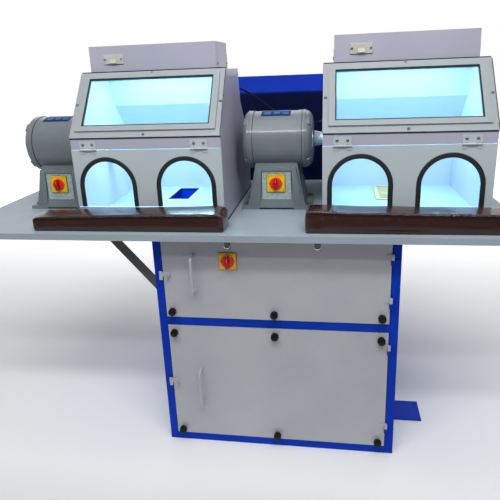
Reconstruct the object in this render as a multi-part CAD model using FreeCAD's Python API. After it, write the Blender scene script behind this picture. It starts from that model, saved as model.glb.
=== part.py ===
import FreeCAD, Part
import math
import os

os.makedirs("parts", exist_ok=True)

V = FreeCAD.Vector

# ---------------------------------------------------------------------------
# Two-station cabbing machine: two polishing motors, each with a lit dust hood,
# on a folded table over a dust-collector cabinet. Units are millimetres.
# Origin: centre of the cabinet's footprint on the floor. +X runs to the
# operator's right, +Y from the operator to the back, +Z up.
# ---------------------------------------------------------------------------

# stations
station_pitch = 780.0          # from the left motor and hood to the right ones
right_hood_x = 148.0           # left side of the right-hand hood
right_motor_x = -9.0           # middle of the right-hand motor
hood_lefts = [right_hood_x - station_pitch, right_hood_x]
motor_centres = [right_motor_x - station_pitch, right_motor_x]
sides = ["left", "right"]

# sheet metal
sheet = 2.0
touch = 0.25                   # gap between pieces on different bodies

# cabinet
cabinet_w = 760.0
cabinet_front = -340.0
cabinet_back = 340.0
post_w = 26.0                  # face width of the front frame's posts
frame_deep = 40.0
lower_opening = (27.0, 449.0)  # bottom and top of the lower doorway
upper_opening = (476.0, 742.0)
door_gap = 2.0
door_deep = 18.0
door_front = cabinet_front - 2.0
rebate_w = 32.0                # flange behind each door's edge
rebate_y = door_front + door_deep + 2.0
rebate_t = 3.0
shelf_z = 455.0

# table
table_top_z = 780.0
table_t = 2.5
table_left = -1050.0
table_right = 730.0
table_front = -408.0
table_back = 340.0
lip_h = 20.0
brace_t = 6.0
clip_half_w = 9.0
clip_z = 742.0
under_table = table_top_z - table_t

# hoods
hood_w = 480.0
hood_front = -292.0
window_foot_z = 1053.0
window_head = (-151.0, 1243.0)
roof_back_y = 40.0
back_bend = (75.0, 1127.0)
back_knee = (233.0, 969.0)
flap_top_z = 1017.5
strip_foot_z = 1019.0
sill_top_z = 834.0
slot_offset = 195.0            # floor slot, from the hood's left side
slot_w = 80.0
slot_y = (15.0, 200.0)

# arm holes
arm_r = 88.0
arm_spacing = 254.0
arm_centre_z = 900.0
flap_foot_z = 837.0
edging_in = 81.0
edging_out = 95.0
edging_half_t = 4.0

# flap hinges
flap_axis_y = -295.5
flap_axis_z = 1018.2
flap_barrel_r = 3.2
flap_hinge_x = [57.0, 412.0]   # middles, from the hood's left side
flap_hinge_w = 52.0

# window
frame_margin = 36.0
bead_margin = 17.0
foot_margin = 38.0             # frame below the glass
bead_foot = 21.0

# lamp box
lamp_x = (32.0, 448.0)
lamp_y = (-148.0, 25.0)
lamp_z = (1243.0, 1327.0)

# motors
motor_y = -34.0
motor_z = 1006.0
casing_r = 95.0
casing_half = 87.0
bell_r = 98.0
bell_end = 124.0               # spindle side
tail_end = 112.0               # blind side
shaft_r = 12.5
running_gap = 0.05             # radial, shafts in their bearings
pedestal_base = (119.0, 90.0)  # half width, half depth
pedestal_top = (65.0, 60.0)
pedestal_foot_h = 12.0
pedestal_wall = 9.0
flange_w = 22.0                # foot flange beside the tapering body
core_top_z = 895.0             # top of the hollow inside the casting
pedestal_top_z = 960.0

# spindle nose
seat_r = 10.0
seat_from = 211.0
seat_to = 261.0

# switches
switch_plate_w = 60.0
switch_plate_t = 4.0
switch_z = 871.0

# dust fan and filter
fan_x = 0.0
fan_y = -20.0
fan_r = 180.0
fan_z = (340.0, 455.0)
inlet_r = 95.0
filter_r = 120.0
fan_bore_r = 9.5

# rear exhaust duct
duct_y = (340.0, 470.0)
duct_z = (300.0, 1145.0)
duct_top_z = 1207.0
duct_chamfer = 80.0
fan_port = (30.0, 180.0, 345.0, 450.0)


# ---------------------------------------------------------------------------
# helpers
# ---------------------------------------------------------------------------

def block(x0, x1, y0, y1, z0, z1):
    return Part.makeBox(x1 - x0, y1 - y0, z1 - z0, V(x0, y0, z0))


def rod(start, direction, radius, length):
    return Part.makeCylinder(radius, length, V(*start), V(*direction))


def face_of(points):
    return Part.Face(Part.makePolygon([V(*p) for p in points + points[:1]]))


def prism_yz(outline, x0, x1):
    return face_of([(x0, y, z) for y, z in outline]).extrude(V(x1 - x0, 0, 0))


def prism_xz(outline, y0, y1):
    return face_of([(x, y0, z) for x, z in outline]).extrude(V(0, y1 - y0, 0))


def prism_xy(outline, z0, z1):
    return face_of([(x, y, z0) for x, y in outline]).extrude(V(0, 0, z1 - z0))


def joined(shapes):
    return shapes[0].fuse(shapes[1:]).removeSplitter() if len(shapes) > 1 else shapes[0]


def turned_about_x(profile, length_axis_start):
    """Solid of revolution about a line along X; profile is (x, r) points."""
    x0, y0, z0 = length_axis_start
    points = [(x0 + x, y0, z0 + r) for x, r in profile]
    return face_of(points).revolve(V(x0, y0, z0), V(1, 0, 0), 360)


def save(node, solids):
    total = []
    for shape in solids:
        total.extend(shape.Solids)
    for number, solid in enumerate(total):
        if not solid.isValid() or solid.Volume <= 0:
            print("NOT VALID", node, number)
    shape = total[0] if len(total) == 1 else Part.makeCompound(total)
    shape.exportStep("parts/" + node + ".step")
    print(node, len(total), "solid(s)")


# ---------------------------------------------------------------------------
# cabinet
# ---------------------------------------------------------------------------

doorways = {"lower": lower_opening, "upper": upper_opening}
door_half_w = cabinet_w / 2 - post_w - door_gap
knob_inset = 22.0
hinge_axis_x = cabinet_w / 2 - post_w
hinge_axis_y = door_front - 5.2
hinge_knuckle_r = 5.0
hinge_pin_r = 3.0
hinge_half_h = 16.0
hinge_heights = {"lower": [102.0, 390.0], "upper": [550.0, 690.0]}
stud_r = 4.0
knob_centres = {
    "lower": [(x, z) for z in (47.0, 424.0) for x in (-door_half_w + knob_inset, 0.0, door_half_w - knob_inset)],
    "upper": [(x, 500.0) for x in (-door_half_w + knob_inset, 0.0, door_half_w - knob_inset)],
}


def frame_hinge(z):
    """Lower half of a lift-off hinge: knuckle, pin and a leaf on the post."""
    foot = z - hinge_half_h
    knuckle = rod((hinge_axis_x, hinge_axis_y, foot), (0, 0, 1), hinge_knuckle_r, hinge_half_h - 0.5)
    pin = rod((hinge_axis_x, hinge_axis_y, foot), (0, 0, 1), hinge_pin_r, 2 * hinge_half_h - 3.0)
    leaf = block(hinge_axis_x, hinge_axis_x + 18.0, cabinet_front - 3.0, cabinet_front, foot, z - 0.5)
    return [knuckle, pin, leaf]


def door_hinge(z):
    """Upper half of a lift-off hinge, with its bore for the pin."""
    foot = z + touch
    knuckle = rod((hinge_axis_x, hinge_axis_y, foot), (0, 0, 1), hinge_knuckle_r, hinge_half_h)
    leaf = block(hinge_axis_x - 18.0, hinge_axis_x, door_front - 2.5, door_front, foot, foot + hinge_half_h)
    bore = rod((hinge_axis_x, hinge_axis_y, foot - 1.0), (0, 0, 1), hinge_pin_r + running_gap, hinge_half_h - 1.5)
    return [knuckle, leaf], bore


def cabinet_front_frame():
    half = cabinet_w / 2
    body = block(-half, half, cabinet_front, cabinet_front + frame_deep, 0, under_table)
    inner = half - post_w
    for low, high in doorways.values():
        body = body.cut(block(-inner, inner, cabinet_front - 1, rebate_y, low, high))
        deep = cabinet_front + frame_deep + 1
        body = body.cut(block(-inner, inner, rebate_y + rebate_t, deep, low, high))
        through = block(-inner + rebate_w, inner - rebate_w, cabinet_front, deep,
                        low + rebate_w, high - rebate_w)
        body = body.cut(through)
    for centres in knob_centres.values():
        for x, z in centres:
            body = body.cut(rod((x, rebate_y - 1, z), (0, 1, 0), stud_r, rebate_t + 2))
    hinges = [piece for group in hinge_heights.values() for z in group for piece in frame_hinge(z)]
    save("cabinet_front_frame", [joined([body] + hinges)])


def chute_notch(centre_x):
    return block(centre_x - 60, centre_x + 60, slot_y[0] - 8, slot_y[1] + 8, 648.0, under_table + 1)


slot_centres = [x + slot_offset + slot_w / 2 for x in hood_lefts]


def cabinet_panels():
    half = cabinet_w / 2
    front = cabinet_front + frame_deep
    back = cabinet_back - sheet
    pieces = []
    for sign, slot_x in zip((-1, 1), slot_centres):
        outer = sign * half
        inner = outer - sign * sheet
        wall = block(min(outer, inner), max(outer, inner), front, back, 0, under_table)
        pieces.append(wall.cut(chute_notch(slot_x)))
    inside = half - sheet
    pieces.append(block(-inside, inside, front, back, 0, sheet))
    shelf = block(-inside, inside, front, back, shelf_z, shelf_z + sheet)
    pieces.append(shelf.cut(rod((fan_x, fan_y, shelf_z - 1), (0, 0, 1), inlet_r, sheet + 2)))
    save("cabinet_panels", pieces)


def cabinet_rear_panel():
    half = cabinet_w / 2
    panel = block(-half, half, cabinet_back - sheet, cabinet_back, 0, under_table)
    x0, x1, z0, z1 = fan_port
    save("cabinet_rear_panel", [panel.cut(block(x0, x1, cabinet_back - 5, cabinet_back + 1, z0, z1))])


def foot_plate():
    half = cabinet_w / 2
    save("foot_plate", [block(half, half + 120, -167, -60, 0, 5)])


# ---------------------------------------------------------------------------
# doors with their handles, latches and clamp knobs
# ---------------------------------------------------------------------------

handle_x = -250.0
handle_standoff = 34.0
handle_r = 5.0
handle_bend_r = 12.0
handle_heights = {"lower": (166.0, 288.0), "upper": (573.0, 694.0)}
latch_x = -door_half_w + 13.0
latch_heights = {"lower": 236.0, "upper": 625.0}
isolator_x = -140.0
isolator_z = 676.0
isolator_w = 54.0


def door(level):
    low, high = doorways[level]
    z0 = low + door_gap
    z1 = high - door_gap
    w = door_half_w
    pan = block(-w, w, door_front, door_front + door_deep, z0, z1)
    pan = pan.cut(block(-w + sheet, w - sheet, door_front + sheet, door_front + door_deep + 1,
                        z0 + sheet, z1 - sheet))
    for x, z in knob_centres[level]:
        pan = pan.cut(rod((x, door_front - 1, z), (0, 1, 0), stud_r + running_gap, sheet + 2))
    latch_hole = rod((latch_x, door_front - 1, latch_heights[level]), (0, 1, 0),
                     stud_r + running_gap, sheet + 2)
    pan = pan.cut(latch_hole)
    bores = []
    for z in hinge_heights[level]:
        pieces, bore = door_hinge(z)
        pan = joined([pan] + pieces)
        bores.append(bore)
    for bore in bores:
        pan = pan.cut(bore)
    save(level + "_door", [pan])


def door_handle(level):
    z0, z1 = handle_heights[level]
    reach = door_front - handle_standoff
    b = handle_bend_r
    half_root = b * (1 - math.sqrt(0.5))
    edges = [
        Part.LineSegment(V(handle_x, door_front, z0), V(handle_x, reach + b, z0)).toShape(),
        Part.Arc(V(handle_x, reach + b, z0), V(handle_x, reach + half_root, z0 + half_root),
                 V(handle_x, reach, z0 + b)).toShape(),
        Part.LineSegment(V(handle_x, reach, z0 + b), V(handle_x, reach, z1 - b)).toShape(),
        Part.Arc(V(handle_x, reach, z1 - b), V(handle_x, reach + half_root, z1 - half_root),
                 V(handle_x, reach + b, z1)).toShape(),
        Part.LineSegment(V(handle_x, reach + b, z1), V(handle_x, door_front, z1)).toShape(),
    ]
    section = Part.Wire(Part.makeCircle(handle_r, V(handle_x, door_front, z0), V(0, -1, 0)))
    bar = Part.Wire(edges).makePipeShell([section], True, False)
    save(level + "_door_handle", [bar])


def door_latch(level):
    """Quarter-turn tongue over the post, on a spindle through the door."""
    z = latch_heights[level]
    face = door_front - touch
    tongue = block(latch_x - 26, latch_x - 15, face - 3, face, z - 17, z + 12)
    arm = block(latch_x - 15.5, latch_x + 11, face - 3, face, z - 5, z + 9)
    boss = rod((latch_x, face, z), (0, -1, 0), 8.0, 9.0)
    spindle = rod((latch_x, face, z), (0, 1, 0), stud_r, sheet + 6)
    grip = block(latch_x - 2.5, latch_x + 2.5, face - 13, face - 8.5, z - 12, z + 12)
    save(level + "_latch", [joined([tongue, arm, boss, spindle, grip])])


def clamp_knob(number, x, z):
    """Faceted hand knob with a captive stud through the door's face."""
    face = door_front - touch
    corners = 10
    outline = []
    for i in range(corners):
        a = 2 * math.pi * i / corners
        outline.append((x + 12.5 * math.cos(a), z + 12.5 * math.sin(a)))
    grip = prism_xz(outline, face - 20, face - 3)
    collar = rod((x, face, z), (0, -1, 0), 8.0, 3.0)
    stud = rod((x, face, z), (0, 1, 0), stud_r, door_deep - 1)
    save("clamp_knob_%d" % number, [joined([grip, collar, stud])])


def rotary_handle(node, x, y, z):
    """Round boss and a grip bar that a thumb and finger turn."""
    boss = rod((x, y, z), (0, -1, 0), 19.0, 8.0)
    grip = block(x - 5.5, x + 5.5, y - 20, y - 8, z - 18, z + 18)
    save(node, [joined([boss, grip])])


def isolator():
    half = isolator_w / 2
    plate = block(isolator_x - half, isolator_x + half, door_front - 4, door_front,
                  isolator_z - half, isolator_z + half)
    save("isolator_plate", [plate])
    rotary_handle("isolator_knob", isolator_x, door_front - 4 - touch, isolator_z)


# ---------------------------------------------------------------------------
# table, brackets and dust chutes
# ---------------------------------------------------------------------------

def table_top():
    skin = block(table_left, table_right, table_front, table_back, under_table, table_top_z)
    lip_z = table_top_z - lip_h
    front = block(table_left, table_right, table_front, table_front + table_t, lip_z, under_table)
    left = block(table_left, table_left + table_t, table_front, table_back, lip_z, under_table)
    right = block(table_right - table_t, table_right, table_front, table_back, lip_z, under_table)
    top = joined([skin, front, left, right])
    for x in slot_centres:
        slot = block(x - slot_w / 2, x + slot_w / 2, slot_y[0], slot_y[1], under_table - 1, table_top_z + 1)
        top = top.cut(slot)
    save("table_top", [top])


def table_brackets():
    """Flat diagonal brace under the long left wing, and two clips behind the lip."""
    half = cabinet_w / 2
    low, run, bar = 566.0, 166.0, 44.0
    outline = [(-half, low), (-half, low + bar), (-half - run + 23, under_table), (-half - run - 14, under_table)]
    brace = prism_xz(outline, cabinet_front + 8, cabinet_front + 8 + brace_t)
    pieces = [brace]
    lip_inside = table_front + table_t
    for x in (-125.0, 137.0):
        stem = block(x - clip_half_w, x + clip_half_w, lip_inside, lip_inside + 2, clip_z, under_table)
        toe = block(x - clip_half_w, x + clip_half_w, lip_inside - 8, lip_inside + 2, clip_z - 2, clip_z)
        pieces.append(joined([stem, toe]))
    save("table_brackets", pieces)


def suction_chute(centre_x, way):
    """Open-topped chute under the floor slot, emptying into the cabinet."""
    outer = [(50, under_table), (50, 742), (-12, 652), (-62, 652), (-62, under_table)]
    inner = [(48, under_table + 1), (48, 743), (-13, 654), (-63, 654), (-63, under_table + 1)]
    y0, y1 = slot_y[0] - 6, slot_y[1] + 6
    shell = prism_xz([(centre_x + way * u, z) for u, z in outer], y0, y1)
    hollow = prism_xz([(centre_x + way * u, z) for u, z in inner], y0 + sheet, y1 - sheet)
    return shell.cut(hollow)


def suction_chutes():
    save("suction_chutes", [suction_chute(slot_centres[0], -1), suction_chute(slot_centres[1], 1)])


def floor_grille():
    """Slatted insert lying over the right-hand hood's floor slot."""
    x = slot_centres[1]
    x0, x1 = x - slot_w / 2 - 12, x + slot_w / 2 + 12
    y0, y1 = slot_y[0] - 12, slot_y[1] + 12
    ring = block(x0, x1, y0, y1, table_top_z, table_top_z + 5)
    ring = ring.cut(block(x0 + 14, x1 - 14, y0 + 14, y1 - 14, table_top_z - 1, table_top_z + 6))
    slats = []
    count = 9
    pitch = (y1 - y0 - 28) / count
    for i in range(1, count):
        y = y0 + 14 + i * pitch
        slats.append(block(x0 + 10, x1 - 10, y - 5, y + 5, table_top_z, table_top_z + 5))
    save("floor_grille", [joined([ring] + slats)])


# ---------------------------------------------------------------------------
# hoods
# ---------------------------------------------------------------------------

slope_dy = window_head[0] - hood_front
slope_dz = window_head[1] - window_foot_z
slope_len = math.hypot(slope_dy, slope_dz)
along = (slope_dy / slope_len, slope_dz / slope_len)
outward = (-along[1], along[0])


def on_slope(s, n):
    """Point in the YZ plane: s up the window's slope, n out of it."""
    return (hood_front + s * along[0] + n * outward[0], window_foot_z + s * along[1] + n * outward[1])


def slope_slab(x0, x1, s0, s1, n0, n1):
    return prism_yz([on_slope(s0, n0), on_slope(s1, n0), on_slope(s1, n1), on_slope(s0, n1)], x0, x1)


def slope_ring(x0, outer, inner, n0, n1):
    """Flat ring on the slope; outer and inner are margins left, foot and head."""
    ring = slope_slab(x0 + outer[0], x0 + hood_w - outer[0], outer[1], slope_len - outer[2], n0, n1)
    hole = slope_slab(x0 + inner[0], x0 + hood_w - inner[0], inner[1], slope_len - inner[2], n0 - 1, n1 + 1)
    return ring.cut(hole)


glass_margins = (frame_margin, foot_margin, 26.0)
bead_margins = (bead_margin, bead_foot, 12.0)
seat_margins = (frame_margin - 10, foot_margin - 10, 17.0)


def hood_outline(inset):
    """Outside of the wrapped sheet, or the same outline moved inwards."""
    turn = inset * 0.5
    return [
        (hood_front + inset, strip_foot_z),
        (hood_front + inset, window_foot_z + turn * 0.6),
        (window_head[0] + turn, window_head[1] - inset),
        (roof_back_y - inset, window_head[1] - inset),
        (back_bend[0] - inset, back_bend[1] - inset * 0.2),
        (back_knee[0] - inset, back_knee[1] - inset * 0.4),
        (back_knee[0] - inset, table_top_z),
    ]


def hood_shell(side, x0):
    """One wrapped sheet: front strip, window slope, roof and stepped back."""
    outside = hood_outline(0)
    inside = hood_outline(sheet)
    left, right = x0 + sheet, x0 + hood_w - sheet
    shell = prism_yz(outside + inside[::-1], left, right)
    window = slope_slab(x0 + frame_margin, x0 + hood_w - frame_margin, foot_margin,
                        slope_len - glass_margins[2], -8, 4)
    lamp_slot = block(x0 + 60, x0 + hood_w - 60, -115, -10, window_head[1] - 5, window_head[1] + 5)
    shell = shell.cut(window).cut(lamp_slot)
    if side == "left":
        shell = shell.cut(rod((x0 + 417, 20, 1188), (0, 1, 0), 6.0, 60))
    sill = block(left, right, hood_front, hood_front + sheet, table_top_z, sill_top_z)
    ledge = block(left, right, hood_front + sheet, hood_front + 15, sill_top_z - sheet, sill_top_z)
    save("hood_" + side + "_shell", [shell, joined([sill, ledge])])


def cheek(x0, x1):
    front = hood_front + sheet
    outline = [(front, table_top_z), (front, window_foot_z), (window_head[0], window_head[1]),
               (roof_back_y, window_head[1]), back_bend, back_knee, (back_knee[0], table_top_z)]
    return prism_yz(outline, x0, x1)


def hood_cheeks():
    """Side plates; the left one of each hood has the spindle's hole."""
    pieces = []
    for side, x0 in zip(sides, hood_lefts):
        near = cheek(x0, x0 + sheet).cut(rod((x0 - 1, motor_y, motor_z), (1, 0, 0), 32.0, sheet + 2))
        if side == "right":
            near = near.cut(rod((x0 - 1, cable_end[1], cable_end[2]), (1, 0, 0), 6.0, sheet + 2))
        pieces.append(near)
        pieces.append(cheek(x0 + hood_w - sheet, x0 + hood_w))
    save("hood_cheeks", pieces)


def windows():
    frames, glasses, gaskets = [], [], []
    for x0 in hood_lefts:
        plate = slope_ring(x0, (0, 0, 0), glass_margins, 3, 5)
        bead = slope_ring(x0, bead_margins, glass_margins, 5, 11)
        frames.append(joined([plate, bead]))
        m = seat_margins
        glasses.append(slope_slab(x0 + m[0], x0 + hood_w - m[0], m[1], slope_len - m[2], 0, 3))
        gaskets.append(slope_ring(x0, (1.5, 1.5, 1.5), seat_margins, 0, 3))
        inner = (frame_margin + 3.5, foot_margin + 3.5, glass_margins[2] + 3.5)
        gaskets.append(slope_ring(x0, glass_margins, inner, 3, 10))
    save("window_frames", frames)
    save("window_glasses", glasses)
    save("window_gaskets", gaskets)


def arm_arch(x, radius, y0, y1, foot):
    """Inverted U: straight legs under a half circle."""
    disc = rod((x, y0, arm_centre_z), (0, 1, 0), radius, y1 - y0)
    half_disc = disc.common(block(x - radius, x + radius, y0, y1, arm_centre_z, arm_centre_z + radius))
    legs = block(x - radius, x + radius, y0, y1, foot, arm_centre_z)
    return joined([half_disc, legs])


def arm_centres(x0):
    middle = x0 + hood_w / 2 - 4
    return [middle - arm_spacing / 2, middle + arm_spacing / 2]


def flap_knuckles(x):
    """The flap's two knuckles of one hinge, and the leaves that carry them."""
    end_w = 13.0
    pieces = []
    bores = []
    for start in (x - flap_hinge_w / 2, x + flap_hinge_w / 2 - end_w):
        barrel = rod((start, flap_axis_y, flap_axis_z), (1, 0, 0), flap_barrel_r, end_w)
        leaf = block(start, start + end_w, hood_front - 2, hood_front, flap_top_z - 12, flap_top_z)
        link = block(start, start + end_w, flap_axis_y, hood_front, flap_top_z - 3.5, flap_top_z - 0.5)
        pieces += [barrel, leaf, link]
        bores.append(rod((start - 1, flap_axis_y, flap_axis_z), (1, 0, 0), 1.8 + running_gap, end_w + 2))
    return pieces, bores


def flap(side, x0):
    """Arm-hole panel that swings outwards and up on two butt hinges."""
    y0, y1 = hood_front, hood_front + sheet
    panel = block(x0, x0 + hood_w, y0, y1, flap_foot_z, flap_top_z)
    for x in arm_centres(x0):
        panel = panel.cut(arm_arch(x, arm_r, y0 - 1, y1 + 1, flap_foot_z - 1))
    edging = []
    for x in arm_centres(x0):
        middle = (y0 + y1) / 2
        outer = arm_arch(x, edging_out, middle - edging_half_t, middle + edging_half_t, flap_foot_z)
        hole = arm_arch(x, edging_in, middle - 9, middle + 9, flap_foot_z - 1)
        edging.append(outer.cut(hole).cut(panel))
    bores = []
    for offset in flap_hinge_x:
        pieces, holes = flap_knuckles(x0 + offset)
        panel = joined([panel] + pieces)
        bores += holes
    for bore in bores:
        panel = panel.cut(bore)
    save("flap_" + side, [panel])
    save("flap_" + side + "_edging", edging)


def flap_hinge_plates():
    """Fixed halves: plate on the strip, middle knuckle and the pin."""
    pieces = []
    middle_w = 24.0
    for x0 in hood_lefts:
        for offset in flap_hinge_x:
            x = x0 + offset
            half = flap_hinge_w / 2
            plate = block(x - half, x + half, hood_front - 2, hood_front, strip_foot_z + 3, strip_foot_z + 25)
            neck = block(x - middle_w / 2, x + middle_w / 2, hood_front - 2, hood_front,
                         flap_axis_z, strip_foot_z + 3)
            knuckle = rod((x - middle_w / 2, flap_axis_y, flap_axis_z), (1, 0, 0), flap_barrel_r, middle_w)
            bridge = block(x - middle_w / 2, x + middle_w / 2, flap_axis_y, hood_front,
                           flap_axis_z + 0.5, flap_axis_z + 3)
            pin = rod((x - half, flap_axis_y, flap_axis_z), (1, 0, 0), 1.8, flap_hinge_w)
            pieces.append(joined([plate, neck, knuckle, bridge, pin]))
    save("flap_hinge_plates", pieces)


# ---------------------------------------------------------------------------
# lamp boxes with their lamps and rocker switches
# ---------------------------------------------------------------------------

rocker_x = 112.0
rocker_z = 1286.0
rocker_half = (11.0, 12.5)
rocker_rest = math.radians(-8.0)


def lamp_boxes():
    pieces = []
    for x0 in hood_lefts:
        x_low, x_high = x0 + lamp_x[0], x0 + lamp_x[1]
        box = block(x_low, x_high, lamp_y[0], lamp_y[1], lamp_z[0], lamp_z[1])
        box = box.cut(block(x_low + 1.5, x_high - 1.5, lamp_y[0] + 1.5, lamp_y[1] - 1.5,
                            lamp_z[0] - 1, lamp_z[1] - 1.5))
        x, z = x0 + rocker_x, rocker_z
        box = box.cut(block(x - 14, x + 14, lamp_y[0] - 1, lamp_y[0] + 3, z - 15, z + 15))
        for side_x in (x_low - 1.5, x_high):
            cover = block(side_x, side_x + 1.5, lamp_y[0] + 2, lamp_y[1] - 2, lamp_z[0], lamp_z[0] + 45)
            box = box.fuse(cover)
        pieces.append(box.removeSplitter())
    save("lamp_boxes", pieces)


def lamp_tubes():
    """Lamp battens hung from the boxes' tops, over the roof slots."""
    pieces = []
    for x0 in hood_lefts:
        batten = block(x0 + 70, x0 + hood_w - 70, -80, -44, lamp_z[1] - 31.5, lamp_z[1] - 1.5)
        tube = rod((x0 + 66, -62, lamp_z[1] - 40), (1, 0, 0), 8.5, hood_w - 132)
        pieces.append(joined([batten, tube]))
    save("lamp_tubes", pieces)


def lamp_switches():
    plates = []
    front = lamp_y[0]
    for side, x0 in zip(sides, hood_lefts):
        x, z = x0 + rocker_x, rocker_z
        w, h = rocker_half
        plate = block(x - 35, x + 35, front - 4, front, z - 18, z + 18)
        plate = plate.cut(block(x - w - 0.5, x + w + 0.5, front - 5, front + 1, z - h - 1.5, z + h + 1.5))
        plates.append(plate)
        profile = [(3, -h + 1.5), (-5, -h), (-3.2, 0), (-5, h), (3, h - 1.5)]
        pivot_y = front - 2.0
        outline = []
        for dy, dz in profile:
            ry = dy * math.cos(rocker_rest) - dz * math.sin(rocker_rest)
            rz = dy * math.sin(rocker_rest) + dz * math.cos(rocker_rest)
            outline.append((pivot_y + ry, z + rz))
        save("lamp_rocker_" + side, [prism_yz(outline, x - w, x + w)])
    save("lamp_switch_plates", plates)


# ---------------------------------------------------------------------------
# screws
# ---------------------------------------------------------------------------

def pan_head(point, direction, radius=4.0, height=2.5):
    return rod(point, direction, radius, height)


def slope_screw(x, s, n):
    y, z = on_slope(s, n)
    return pan_head((x, y, z), (0, outward[0], outward[1]))


def machine_screws():
    """Heads of the window, hinge, lamp-box and motor-foot screws."""
    heads = []
    for x0 in hood_lefts:
        heads.append(slope_screw(x0 + hood_w / 2, 9, 5))
        heads.append(slope_screw(x0 + hood_w / 2, slope_len - 6.5, 5))
        heads.append(slope_screw(x0 + 8, slope_len / 2, 5))
        heads.append(slope_screw(x0 + hood_w - 8, slope_len / 2, 5))
        for offset in flap_hinge_x:
            for dx in (-15, 15):
                heads.append(pan_head((x0 + offset + dx, hood_front - 2, strip_foot_z + 15), (0, -1, 0)))
        for x, way in ((x0 + lamp_x[0] - 1.5, -1), (x0 + lamp_x[1] + 1.5, 1)):
            for y in (lamp_y[0] + 16, lamp_y[1] - 14):
                heads.append(pan_head((x, y, lamp_z[0] + 18), (way, 0, 0)))
        for dx in (-28, 28):
            heads.append(pan_head((x0 + rocker_x + dx, lamp_y[0] - 4, rocker_z), (0, -1, 0), 3.0, 1.5))
    for x in motor_centres:
        for dx in (-1, 1):
            for dy in (-1, 1):
                centre = (x + dx * 108, motor_y + dy * 62, table_top_z + pedestal_foot_h)
                heads.append(pan_head(centre, (0, 0, 1), 8.0, 9.0))
    save("machine_screws", heads)


# ---------------------------------------------------------------------------
# motors
# ---------------------------------------------------------------------------

def motor_casing(x):
    tube = rod((x - casing_half, motor_y, motor_z), (1, 0, 0), casing_r, 2 * casing_half)
    return tube.cut(rod((x - casing_half - 1, motor_y, motor_z), (1, 0, 0), 68.0, 2 * casing_half + 2))


def end_bell(x, way, blind):
    """Domed cover with a seam flange; the spindle side is bored through."""
    inner, outer = casing_half, tail_end if blind else bell_end
    deep = outer - inner
    band = 8.0 if blind else 12.0
    profile = [(0, 0), (0, bell_r), (band, bell_r), (band, bell_r - 4), (0.64 * deep, bell_r - 9),
               (0.88 * deep, bell_r - 20), (deep, bell_r - 38), (deep, 0)]
    bell = turned_about_x([(way * (inner + dx), r) for dx, r in profile], (x, motor_y, motor_z))
    hollow = rod((x + way * (inner - 1), motor_y, motor_z), (way, 0, 0), 60.0, 14.0)
    length = 24.0 if blind else 60.0
    bore = rod((x + way * (inner - 1), motor_y, motor_z), (way, 0, 0), shaft_r + running_gap, length)
    bell = bell.cut(hollow).cut(bore)
    lugs = []
    for i in range(4):
        a = math.radians(45 + 90 * i)
        cy = motor_y + 84 * math.cos(a)
        cz = motor_z + 84 * math.sin(a)
        lugs.append(rod((x + way * (inner + band - 1), cy, cz), (way, 0, 0), 8.0, deep - band - 8))
    return joined([bell] + lugs)


def motor_pedestal(x):
    """Cast stand: foot flange, tapering body and a saddle for the casing."""
    bw, bd = pedestal_base
    tw, td = pedestal_top
    foot = block(x - bw, x + bw, motor_y - bd, motor_y + bd, table_top_z, table_top_z + pedestal_foot_h)
    base_z = table_top_z + pedestal_foot_h

    def ring(half_w, half_d, z):
        corners = [(-1, -1), (1, -1), (1, 1), (-1, 1), (-1, -1)]
        return Part.makePolygon([V(x + a * half_w, motor_y + b * half_d, z) for a, b in corners])

    body = Part.makeLoft([ring(bw - flange_w, bd - 1, base_z), ring(tw, td, pedestal_top_z)], True, True)
    stand = joined([foot, body])
    w = pedestal_wall
    core = Part.makeLoft([ring(bw - flange_w - w, bd - w, table_top_z - 1),
                          ring(tw - w, td - w, core_top_z)], True, True)
    stand = stand.cut(core)
    stand = stand.cut(rod((x - 200, motor_y, motor_z), (1, 0, 0), casing_r, 400))
    for way in (-1, 1):
        start = x + way * casing_half
        stand = stand.cut(rod((start, motor_y, motor_z), (way, 0, 0), bell_r, 60))
    return stand.cut(block(x - 58, x + 58, motor_y - bd - 1, motor_y + bd + 1, table_top_z - 1, table_top_z + 6))


def pedestal_front_y(z):
    """Front face of the pedestal at height z, where plates are mounted."""
    base_z = table_top_z + pedestal_foot_h
    part = (z - base_z) / (pedestal_top_z - base_z)
    return motor_y - (pedestal_base[1] - 1) * (1 - part) - pedestal_top[1] * part


cover_z = (815.0, 909.0)


def motors():
    casings, bells, stands, covers, plates = [], [], [], [], []
    for side, x in zip(sides, motor_centres):
        casings.append(motor_casing(x))
        bells.append(end_bell(x, -1, True))
        bells.append(end_bell(x, 1, False))
        stands.append(motor_pedestal(x))
        front = pedestal_front_y(cover_z[0]) - 1.0
        low_y = pedestal_front_y(cover_z[0])
        high_y = pedestal_front_y(cover_z[1])
        box_front = [(low_y, cover_z[0]), (front, cover_z[0]), (front, cover_z[1]), (high_y, cover_z[1])]
        covers.append(prism_yz(box_front, x - 47, x + 50))
        half = switch_plate_w / 2
        plates.append(block(x - half, x + half, front - switch_plate_t, front, switch_z - half, switch_z + half))
        rotary_handle("switch_knob_" + side, x, front - switch_plate_t - touch, switch_z)
    save("motor_casings", casings)
    save("motor_end_bells", bells)
    save("motor_pedestals", stands)
    save("motor_cover_plates", covers)
    save("motor_switch_plates", plates)


def spindles():
    """Rotor, shaft and nose with flange, wheel seat and threaded end."""
    profile = [(-108, 0), (-108, shaft_r), (-60, shaft_r), (-60, 55), (60, 55), (60, shaft_r),
               (126, shaft_r), (126, 26.5), (150, 21), (150, 15), (203, 15), (203, 25), (seat_from, 25),
               (seat_from, seat_r), (seat_to, seat_r), (seat_to, 8), (286, 8), (291, 5), (291, 0)]
    for side, x in zip(sides, motor_centres):
        save("spindle_" + side, [turned_about_x(profile, (x, motor_y, motor_z))])


# ---------------------------------------------------------------------------
# armrests
# ---------------------------------------------------------------------------

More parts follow.
